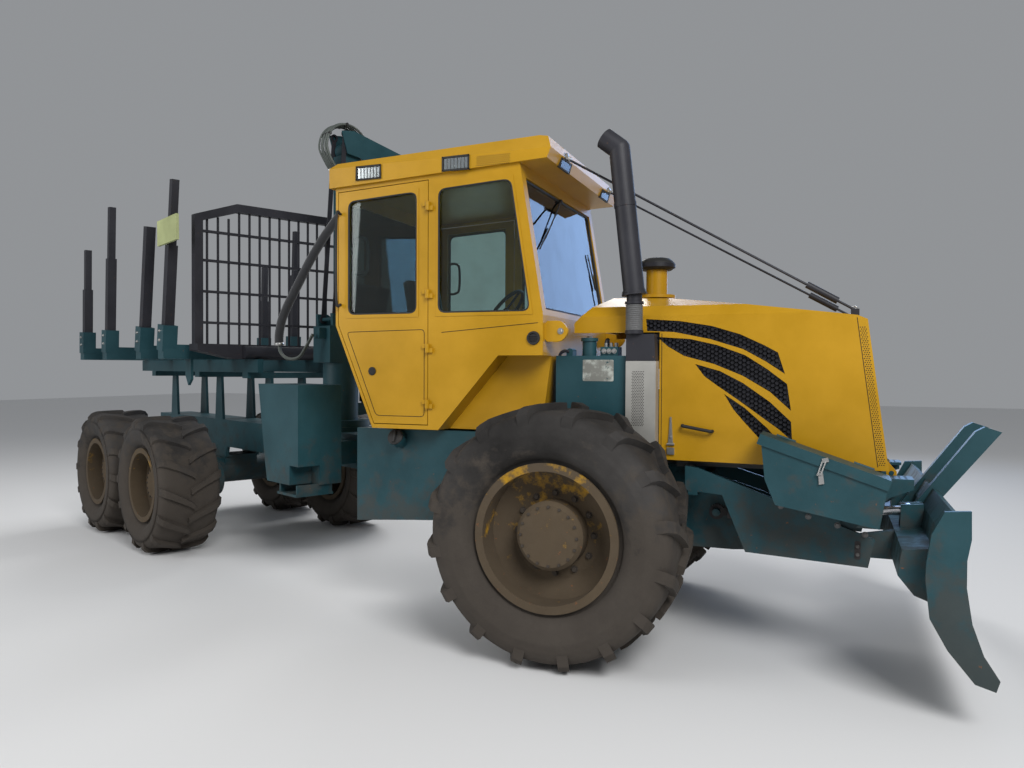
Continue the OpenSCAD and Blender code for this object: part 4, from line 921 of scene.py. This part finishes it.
# %% Side windows
REAR_PANE = [(-1.690, 3.060), (-1.690, 2.215), (-1.115, 2.215), (-1.115, 3.090)]
FRONT_PANE = [(-0.960, 3.095), (-0.960, 2.215), (-0.262, 2.215), (-0.405, 3.125)]
HATCH = [(-1.694, 2.100), (-1.060, 2.112), (-1.060, 1.500), (-1.449, 1.500)]
for side, label in SIDES:
    y, door = side * DOOR_Y, "door_" + label
    for pane, body, name in ((REAR_PANE, door, "door_window"), (FRONT_PANE, "front", "front_window")):
        ring, inner = window_ring(pane, y)
        piece("%s_ring_%s" % (name, label), [ring], "yellow", body)
        gasket = seam(inner, y - side * 0.002, radius=0.0075)
        piece("%s_gasket_%s" % (name, label), [gasket], "trim", body, smooth=True)
    y += side * 0.0004
    piece("hatch_line_" + label, [seam(rounded(HATCH, 0.03), y)], "seam", door)
    piece("cab_line_" + label, [seam([(-0.925, 2.090), (-0.215, 2.146)], y, closed=False)], "seam", "front")
print("side windows framed")


# %% Windscreen edge and wipers
SCREEN_LEAN = math.atan2(0.170, 1.015)


def on_screen(y, up, out):
    """A point on the outside of the windscreen, said by its distance across and up the glass."""
    ahead = -0.020 + out
    return Vector((-0.180 - up * math.sin(SCREEN_LEAN) + ahead * math.cos(SCREEN_LEAN), y,
                   2.200 + up * math.cos(SCREEN_LEAN) + ahead * math.sin(SCREEN_LEAN)))


edge = [on_screen(y, up, 0.002) for y, up in rounded(rect(-0.755, 0.050, 0.755, 0.935), 0.05)]
piece("screen_gasket", [tube_part(edge, 0.009, sides=8, closed=True)], "trim", "front", smooth=True)
WIPERS = (((0.0, 0.930), (-0.10, 0.865), (-0.52, 0.560), (-0.66, 0.470), (-0.36, 0.665)),
          ((0.68, 0.060), (0.675, 0.12), (0.600, 0.420), (0.630, 0.300), (0.560, 0.590)))
wipers = []
for foot, elbow, tip, start, end in WIPERS:
    arm = [on_screen(*foot, 0.012), on_screen(*elbow, 0.022), on_screen(*tip, 0.016)]
    wipers += [tube_part(arm, (0.008, 0.006, 0.004), sides=8),
               tube_part([on_screen(*foot, 0.0), on_screen(*foot, 0.026)], 0.014),
               tube_part([on_screen(*start, 0.010), on_screen(*end, 0.010)], 0.006, sides=6)]
piece("wipers", wipers, "trim", "front")
print("wipers:", len(WIPERS))


# %% [markdown]
# ## Lamps
# A work lamp is a black bezel with a bright bowl behind a ribbed lens. Two sit in each side of the roof and two
# look forward under its front edge.

# %% Lamps
def lamp_at(name, place, width, height, facing):
    """A lamp that looks along facing, with the middle of its face at a place."""
    out = Vector(facing).normalized()
    across = Vector((0, 0, 1)).cross(out).normalized()
    up = out.cross(across)
    def bar(half_w, half_h, back, front, aside=0.0, above=0.0):
        middle = Vector(place) + across * aside + up * above
        points = [middle + across * a * half_w + up * b * half_h + out * d
                  for d in (back, front) for a, b in ((-1, -1), (1, -1), (1, 1), (-1, 1))]
        return points, [(0, 1, 2, 3), (7, 6, 5, 4)] + [(i, i + 4, (i + 1) % 4 + 4, (i + 1) % 4) for i in range(4)]
    w, h, rim = width / 2, height / 2, 0.012
    bezel = [bar(w, rim / 2, -0.012, 0.009, above=s * (h - rim / 2)) for s in (-1, 1)]
    bezel += [bar(rim / 2, h, -0.012, 0.009, aside=s * (w - rim / 2)) for s in (-1, 1)]
    piece(name + "_bezel", bezel, "trim", "front", bevel=0.002)
    w, h = w - rim, h - rim
    piece(name + "_bowl", [bar(w, h, -0.010, 0.001)], "mirror_bowl", "front")
    ribs = [bar(0.0018, h, 0.001, 0.0045, aside=w * (k / 3.5 - 1)) for k in range(1, 7)]
    piece(name + "_ribs", ribs, "galv", "front")
    piece(name + "_lens", [bar(w, h, 0.0045, 0.0065)], "lens", "front")


for side, label in SIDES:
    lamp_at("roof_lamp_rear_" + label, (-1.496, side * 0.866, 3.236), 0.205, 0.100, (0, side, 0))
    lamp_at("roof_lamp_middle_" + label, (-0.808, side * 0.866, 3.243), 0.205, 0.100, (0, side, 0))
    lamp_at("roof_lamp_front_" + label, (-0.1375, side * 0.520, 3.247), 0.220, 0.070, (1, 0, -0.28))
print("three roof lamps a side")


# %% [markdown]
# ## Cab fittings
# The door has a lock, a grab rail and a loop handle inside its window. The front corner of the cab carries a
# round vent and a lug plate. They are small, but they show the scale of the cab.

# %% Cab fittings
LOCK = [(0, 0), (0.030, 0), (0.030, 0.006), (0.018, 0.010), (0, 0.010)]
LOOP = [(-1.655, 0.800, 2.792), (-1.600, 0.780, 2.790), (-1.560, 0.780, 2.750), (-1.560, 0.780, 2.560),
        (-1.600, 0.780, 2.520), (-1.655, 0.800, 2.518)]
RAIL = [(-1.745, 0.846, 2.30), (-1.745, 0.900, 2.34), (-1.745, 0.900, 2.92), (-1.745, 0.846, 2.96)]
VENT_X, VENT_Z = -0.245, 2.045
VENT_RIM = [(0, 0.004), (0.030, 0.004), (0.034, 0.012), (0.044, 0.012), (0.046, 0), (0, 0)]
LUG_Y = 0.800
LUG_PLATE = [(-0.182, 2.160), (-0.060, 2.160), (-0.010, 2.090), (-0.060, 2.020), (-0.182, 2.020)]
for side, label in SIDES:
    facing, door = (0, side, 0), "door_" + label
    lock = turned_part(LOCK, (-1.480, side * DOOR_Y, 1.818), facing, steps=20)
    piece("door_lock_" + label, [lock], "trim", door)
    bent_rod("door_loop_" + label, sided(side, LOOP), 0.011, "trim", door)
    vent = [turned_part(VENT_RIM, (VENT_X, side * DOOR_Y, VENT_Z), facing, steps=32)]
    for z in (2.031, VENT_Z, 2.059):
        vent.append(slab(rect(-0.285, z - 0.003, -0.205, z + 0.003), *sorted((side * 0.838, side * 0.853))))
    piece("cab_vent_" + label, vent, "trim", "front")
    plate = slab(rounded(LUG_PLATE, 0.035), side * LUG_Y, side * 0.775)
    piece("cab_lug_" + label, [plate], "yellow", "front", bevel=0.002)
    bolt = bolt_head((-0.070, side * LUG_Y, 2.090), facing, 0.016, 0.014)
    piece("cab_lug_bolt_" + label, bolt, "steel", "front")
    bent_rod("grab_rail_" + label, sided(side, RAIL), 0.010, "trim", door)
print("cab fittings done")

# %% Anchors of the branch cables
anchors = []
for side in (-1, 1):
    anchors += bolt_head((-0.118, side * 0.560, 3.300), (1, 0, 0.3), 0.020, 0.018)
    anchors.append(tube_part([(-0.123, side * 0.560, 3.296), (-0.085, side * 0.552, 3.274)], 0.016))
piece("cable_anchors", anchors, "steel", "front")
EYE_RING = [(0.012 + 0.006 * math.cos(a), 0.006 * math.sin(a)) for a in (2 * math.pi * k / 8 for k in range(9))]
eyes = [turned_part(EYE_RING, (1.728, side * 0.360, 2.232), (0, 1, 0), steps=20) for side in (-1, 1)]
piece("cable_eyes", eyes, "steel", "hood", smooth=True)
print("eyes for the branch cables:", len(eyes))


# %% [markdown]
# ## Hood fittings
# The hood opens as one shell. It has a draw latch and a bar handle on each side, and dark seams where the
# front section and the rear edge meet their neighbours.

# %% Hood fittings
FRONT_SEAM = [(hood_front_x(z) - 0.058, z) for z in (1.262, 1.5, 1.8, 2.09, 2.160)]
REAR_SEAM = [(0.560, 1.262), (0.560, 2.075)]
LATCH = [(0.606, 1.345), (0.640, 1.345), (0.634, 1.425), (0.628, 1.530), (0.618, 1.530), (0.612, 1.425)]
HANDLE = [(0.700, 0, 1.477), (0.704, 0.034, 1.476), (0.730, 0.040, 1.472), (0.860, 0.040, 1.450),
          (0.886, 0.034, 1.446), (0.890, 0, 1.445)]
for side, label in SIDES:
    skin = side * SKIN
    lines = [seam(line, skin, closed=False) for line in (FRONT_SEAM, REAR_SEAM)]
    piece("hood_lines_" + label, lines, "seam", "hood")
    latch = [slab(LATCH, skin, skin + side * 0.010),
             slab(rect(0.600, 1.285, 0.648, 1.330), skin, skin + side * 0.014),
             tube_part([(x, skin + side * 0.012, 1.352) for x in (0.600, 0.648)], 0.008)]
    latch += bolt_head((0.624, skin + side * 0.010, 1.400), (0, side, 0), 0.007, 0.006)
    piece("hood_latch_" + label, latch, "steel", "hood", bevel=0.0015)
    grip = [(x, skin + side * out, z) for x, out, z in HANDLE]
    bent_rod("hood_handle_" + label, grip, 0.011, "trim", "hood")
print("hood fittings done")


# %% [markdown]
# ## Exhaust, tank and box hardware
# Between the dark box and the stack sits a flexible bellows with clamps. The hydraulic tank keeps the pale patch
# of a worn label, left bare. The tool boxes close with draw latches.

# %% Guard cover and intake cap
UP = (0, 0, 1)
cover = rounded(rect(0.3445, 1.2985, 0.5410, 1.8950), 0.006, steps=2)
piece("guard_cover", [slab(cover, -0.6941, -0.6915)], "galv", "front")
piece("guard_side", [box_part((0.5402, -0.6940, 1.2985), (0.5424, -0.5960, 1.8950))], "galv", "front")
INTAKE = (0.430, -0.130, 2.5445)
cap = [(0, 0), (0.101, 0), (0.1265, 0.018), (0.1265, 0.046), (0.112, 0.064), (0.091, 0.0815), (0.050, 0.090),
       (0, 0.0935)]
piece("intake_cap", [turned_part(cap, INTAKE, UP, steps=64)], "trim", "hood", smooth=True)
rim = [(0.1262, 0.016), (0.1290, 0.018), (0.1290, 0.044), (0.1262, 0.046)]
piece("intake_cap_rim", [turned_part(rim, INTAKE, UP, steps=64)], "black", "hood")
print("intake cap, radius in metres:", max(r for r, h in rim))

# %% Exhaust hardware
PIPE_X, PIPE_Y = 0.395, -0.678
STACK_FOOT, STACK_TOP = Vector((PIPE_X, PIPE_Y, 2.325)), Vector((0.288, PIPE_Y, 3.282))
lean = (STACK_TOP - STACK_FOOT).normalized()
waves = [(0, 0), (0.052, 0)] + [(0.052 + 0.006 * (k % 2), 0.007 + 0.0065 * k) for k in range(26)]
waves += [(0.052, 0.177), (0, 0.177)]
piece("exhaust_bellows", [turned_part(waves, (PIPE_X, PIPE_Y, 2.085), UP, steps=36)], "grey", "front")
rings = [band_part(0.070, 0.082, 0.012, STACK_FOOT, lean),
         band_part(0.070, 0.0735, 0.028, STACK_FOOT + lean * 0.58, lean),
         band_part(0.050, 0.062, 0.016, (PIPE_X, PIPE_Y, 2.266), UP),
         band_part(0.050, 0.060, 0.022, (PIPE_X, PIPE_Y, 2.072), UP)]
for a in (math.pi * k / 3 for k in range(6)):
    out = Vector((math.cos(a), math.sin(a), 0)) * 0.0755
    rings += bolt_head(STACK_FOOT + lean * 0.012 + out, lean, 0.006, 0.007)
piece("exhaust_clamps", rings, "black", "front")
piece("guard_edge", [box_part((0.343, -0.6965, 1.896), (0.543, -0.594, 1.904))], "black", "front")
print("bands and bolts on the exhaust:", len(rings))

# %% Tank patch and valves
patch = rounded(rect(0.040, 1.760, 0.252, 1.903), 0.008)
piece("tank_patch", [slab(patch, -0.6502, -0.6512)], "worn", "front")
valve = []
for x in (0.175, 0.210, 0.245):
    valve += bolt_head((x, -0.610, 1.962), (0, -1, 0), 0.013, 0.022)
    valve.append(tube_part([(x, -0.555, 1.988), (x, -0.555, 2.018)], 0.012))
valve += bolt_head((0.060, -0.560, 2.050), UP, 0.022, 0.014)
piece("valve_fittings", valve, "steel", "front")
PIPES = [[(0.175, -0.555, 2.014), (0.175, -0.540, 2.036), (0.170, -0.480, 2.040), (0.150, -0.420, 2.000),
          (0.140, -0.400, 1.932)],
         [(-0.072, -0.598, 1.960), (-0.112, -0.598, 1.962), (-0.138, -0.598, 1.940), (-0.140, -0.598, 1.900),
          (-0.136, -0.640, 1.860)]]
piece("tank_pipes", [tube_part(smooth_path(run), 0.011) for run in PIPES], "black", "front", smooth=True)
print("pipes on the tank:", len(PIPES))

# %% Box latches, nose plate and step
BOX_Y, NOSE_Y = 0.880, 0.600
ROD_Y, BAR_Y = BOX_Y + 0.022, BOX_Y + 0.020
HOOK = [(1.556, 1.306), (1.590, 1.314), (1.584, 1.338), (1.550, 1.330)]
LEVER = [(1.536, 1.178), (1.566, 1.184), (1.556, 1.262), (1.532, 1.258)]
RODS = (((1.574, BAR_Y, 1.318), (1.548, ROD_Y, 1.240), 0.005, 8),
        ((1.554, BAR_Y, 1.314), (1.530, ROD_Y, 1.236), 0.005, 8),
        ((1.524, ROD_Y, 1.236), (1.556, ROD_Y, 1.244), 0.007, 10))
NOSE_BOLTS = ((1.312, 0.993, 0.014, 0.013), (1.474, 0.940, 0.014, 0.013), (1.641, 0.898, 0.014, 0.013),
              (1.795, 0.853, 0.014, 0.013), (1.755, 0.780, 0.012, 0.012), (1.755, 0.730, 0.012, 0.012))
for side, label in SIDES:
    latch = [slab(HOOK, side * BOX_Y, side * ROD_Y), slab(LEVER, side * BOX_Y, side * (BOX_Y + 0.014))]
    latch += [tube_part(sided(side, (start, end)), radius, sides) for start, end, radius, sides in RODS]
    piece("box_latch_" + label, latch, "steel", "front", bevel=0.001)
    bolts = [part for x, z, across, high in NOSE_BOLTS
             for part in bolt_head((x, side * NOSE_Y, z), (0, side, 0), across, high)]
    piece("nose_bolts_" + label, bolts, "grey", "front")
    # The black plate in the slot is painted shade: it stands for the shaded opening round the two bolts.
    slot = rounded(rect(1.738, 0.812, 1.772, 0.700), 0.012)
    piece("nose_slot_" + label, [slab(slot, side * NOSE_Y, side * (NOSE_Y + 0.003))], "black", "front")
studs = [(x, side * y, 1.1952) for side in (-1, 1) for x in (1.950, 1.985, 2.020)
         for y in (0.430, 0.470, 0.510, 0.550)]
punched("step_studs", studs, 0.008, "front", turn=(0.0, 0.0, 0.0))
print("bolts on a nose plate:", len(NOSE_BOLTS))


# %% [markdown]
# ## Seat
# The seat is sprung foam under cloth. Each cushion is a closed form that is crowned in the middle, pulled in
# along its sides and sewn in channels. They replace the plain CAD seat, whose pedestal and armrests come back
# as plain pieces.

# %% Cushions
def cushion_part(low, high, crown, channels, cells=22):
    """A crowned cushion with sewn channels across its top."""
    low, high = Vector(low), Vector(high)
    middle, half = (low + high) / 2, (high - low) / 2
    cube = bmesh.new()
    bmesh.ops.create_cube(cube, size=2.0)
    bmesh.ops.subdivide_edges(cube, edges=cube.edges[:], cuts=cells, use_grid_fill=True)
    points = []
    for v in cube.verts:
        x, y, z = v.co
        edge_x, edge_y, edge_z = 1 - x * x, 1 - y * y, 1 - z * z
        pull = 1 - 0.05 * (1 - edge_z) * (1 - edge_y * edge_x) - 0.02 * edge_z
        up = z * (0.80 + crown * edge_x * edge_y)
        for c in channels:
            up -= 0.10 * max(0.0, z) * math.exp(-((x - c) / 0.035) ** 2) * min(1.0, 4 * edge_y)
        points.append(middle + Vector((x * half.x * pull, y * half.y * pull, up * half.z)))
    faces = [tuple(v.index for v in f.verts) for f in cube.faces]
    cube.free()
    return points, faces


def leaned(part, pivot, degrees):
    """A part turned about an axis along Y through pivot."""
    there, turn = Matrix.Translation(pivot), Matrix.Rotation(math.radians(degrees), 4, "Y")
    spin = there @ turn @ Matrix.Translation(-Vector(pivot))
    return [tuple(spin @ Vector(p)) for p in part[0]], part[1]


cushion = cushion_part((-1.420, -0.250, 1.745), (-0.900, 0.250, 1.862), 0.20, (-0.45, 0.05, 0.5))
base = piece("seat_cushion", [cushion], "cloth", "front", smooth=True)
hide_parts("seat")
back = cushion_part((-0.380, -0.240, -0.060), (0.380, 0.240, 0.050), 0.20, (-0.5, -0.1, 0.3))
back = leaned(back, (0, 0, 0), -90)
back = leaned(([(x - 1.405, y, z + 2.180) for x, y, z in back[0]], back[1]), (-1.35, 0, 1.80), -10)
backrest = piece("seat_back", [back], "cloth", "front", smooth=True)
print("cushions:", 2)

# %% Seat frame and levers
PEDESTAL = [(0, 0), (0.120, 0), (0.120, 0.02), (0.085, 0.06), (0.085, 0.24), (0.12, 0.294), (0, 0.294)]
KNOB = [(0, -0.01), (0.016, 0), (0.022, 0.025), (0.018, 0.055), (0, 0.062)]
armrest, post = rounded(rect(-1.310, 1.960, -0.950, 2.010), 0.018), rect(-1.330, 1.800, -1.290, 1.975)
stand, levers = [turned_part(PEDESTAL, (-1.150, 0, 1.4503), UP, steps=36)], []
for side in (-1, 1):
    stand += [slab(armrest, side * 0.262, side * 0.330), slab(post, side * 0.246, side * 0.300)]
    lever = sided(side, [(-1.000, 0.296, 2.005), (-0.995, 0.296, 2.060), (-0.975, 0.296, 2.110)])
    levers += [tube_part(smooth_path(lever), 0.008),
               turned_part(KNOB, (-0.978, side * 0.296, 2.104), (0.3, 0, 1), steps=20)]
piece("seat_frame", stand, "trim", "front", bevel=0.004)
piece("control_levers", levers, "trim", "front", smooth=True)
print("parts of the seat's frame:", len(stand))


# %% [markdown]
# ## Fillers, fastenings and small parts of the rear unit
# Filler caps have finger grips, the stakes' pockets are bolted, and the crane's shoulder pin has hexagon heads.
# A few such fastenings per joint are enough to give the steelwork its scale.

# %% Fillers and fastenings
FILLER_TILT = math.radians(65)
CAP = [(0, 0), (0.060, 0), (0.060, 0.010), (0.050, 0.016), (0, 0.016)]
for side, label in SIDES:
    axis = Vector((0, side * math.sin(FILLER_TILT), math.cos(FILLER_TILT)))
    top = Vector((-1.330, side * 0.650, 1.290)) + axis * 0.125
    grip = axis.cross(Vector((1, 0, 0))).normalized() * 0.045
    bar = top + axis * 0.022
    cap = [turned_part(CAP, top, axis, steps=24), tube_part([bar - grip, bar + grip], 0.010, sides=8)]
    piece("filler_cap_" + label, cap, "trim", "front")
STAKE_X = (4.230, 4.850, 5.930, 6.760)
bolts = [at_rear(part) for x in STAKE_X for side in (-1, 1) for z in (2.100, 2.190)
         for part in bolt_head((-x, side * 1.200, z), (0, side, 0), 0.012, 0.012)]
piece("pocket_bolts", bolts, "steel", "rear")
pins = []
for v in (-0.160, 0.160):
    place = crane(0.060, v, 2.150)
    pins.append(band_part(0, 0.048, 0.010, place, crane(0.060, v + math.copysign(1, v), 2.150) - place, steps=6))
piece("shoulder_pin_heads", pins, "steel", "main_boom")
print("bolts on the stakes' pockets:", len(bolts) // 2)

# %% Marker board on the front stake
LEAN = math.radians(-2)
board = [(-4.075 + x * math.cos(LEAN) + z * math.sin(LEAN), 3.020 - x * math.sin(LEAN) + z * math.cos(LEAN))
         for x, z in rect(-0.211, -0.001, 0.271, 0.241)]
piece("marker_board", [at_rear(slab(board, -1.1985, -1.1735))], "pale_board", "rear")
print("marker board leans by", round(math.degrees(LEAN), 1), "degrees")

# %% [markdown]
# ## Floor, light and backdrop
# The part stands on a plain pale floor under soft studio light: a broad key from the camera's right, a fill
# from its left, a rim light from behind and a pale sky. A blue card on the far side shows only as a mirror
# image, as the sky does in the photograph's windscreen. The floor is stage only and is no part of the object.

# %% Floor
ground = bpy.data.meshes.new("floor")
ground.from_pydata([(-40, -40, 0), (40, -40, 0), (40, 40, 0), (-40, 40, 0)], [], [(0, 1, 2, 3)])
floor = bpy.data.objects.new("floor", ground)
scene.collection.objects.link(floor)
pale, tree, _ = blank_material("pale floor")
speckle = add(tree, "ShaderNodeTexNoise", {"Scale": 0.6, "Detail": 3.0}).outputs["Fac"]
tone = remap(tree, speckle, 0.0, 1.0, 0.72, 0.78)
shader = add(tree, "ShaderNodeBsdfPrincipled", {"Base Color": tone, "Roughness": 0.9})
ground.materials.append(close_material(pale, shader))
floor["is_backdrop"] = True
print("floor laid")

# %% World and lights
world = bpy.data.worlds.new("studio")
scene.world = world
world.use_nodes = True
sky = world.node_tree.nodes["Background"].inputs
sky["Color"].default_value, sky["Strength"].default_value = (0.86, 0.89, 0.93, 1), 0.33
LIGHTS = (("key", (6.0, -8.0, 8.5), (-1.5, 0, 1.2), 5.0, 1120),
          ("fill", (-9.0, -7.0, 5.0), (-3.0, 0, 1.5), 6.0, 380),
          ("rim", (-4.0, 9.0, 7.0), (-2.0, 0, 1.5), 5.0, 600),
          ("sky card", (1.8, 13.0, 6.0), (0, 0, 2.5), 8.0, 620))
for label, place, aim, size, power in LIGHTS:
    light = bpy.data.lights.new(label, "AREA")
    light.size, light.energy = size, power
    lamp = bpy.data.objects.new(label, light)
    scene.collection.objects.link(lamp)
    lamp.location = place
    lamp.rotation_euler = (Vector(aim) - Vector(place)).to_track_quat("-Z", "Y").to_euler()
light.color = (0.32, 0.55, 1.0)
lamp.visible_camera = lamp.visible_diffuse = False
print("lights:", len(LIGHTS))

# %% Measure and finish
low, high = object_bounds()
print("dressed size:", [round(h - l, 3) for l, h in zip(low, high)])
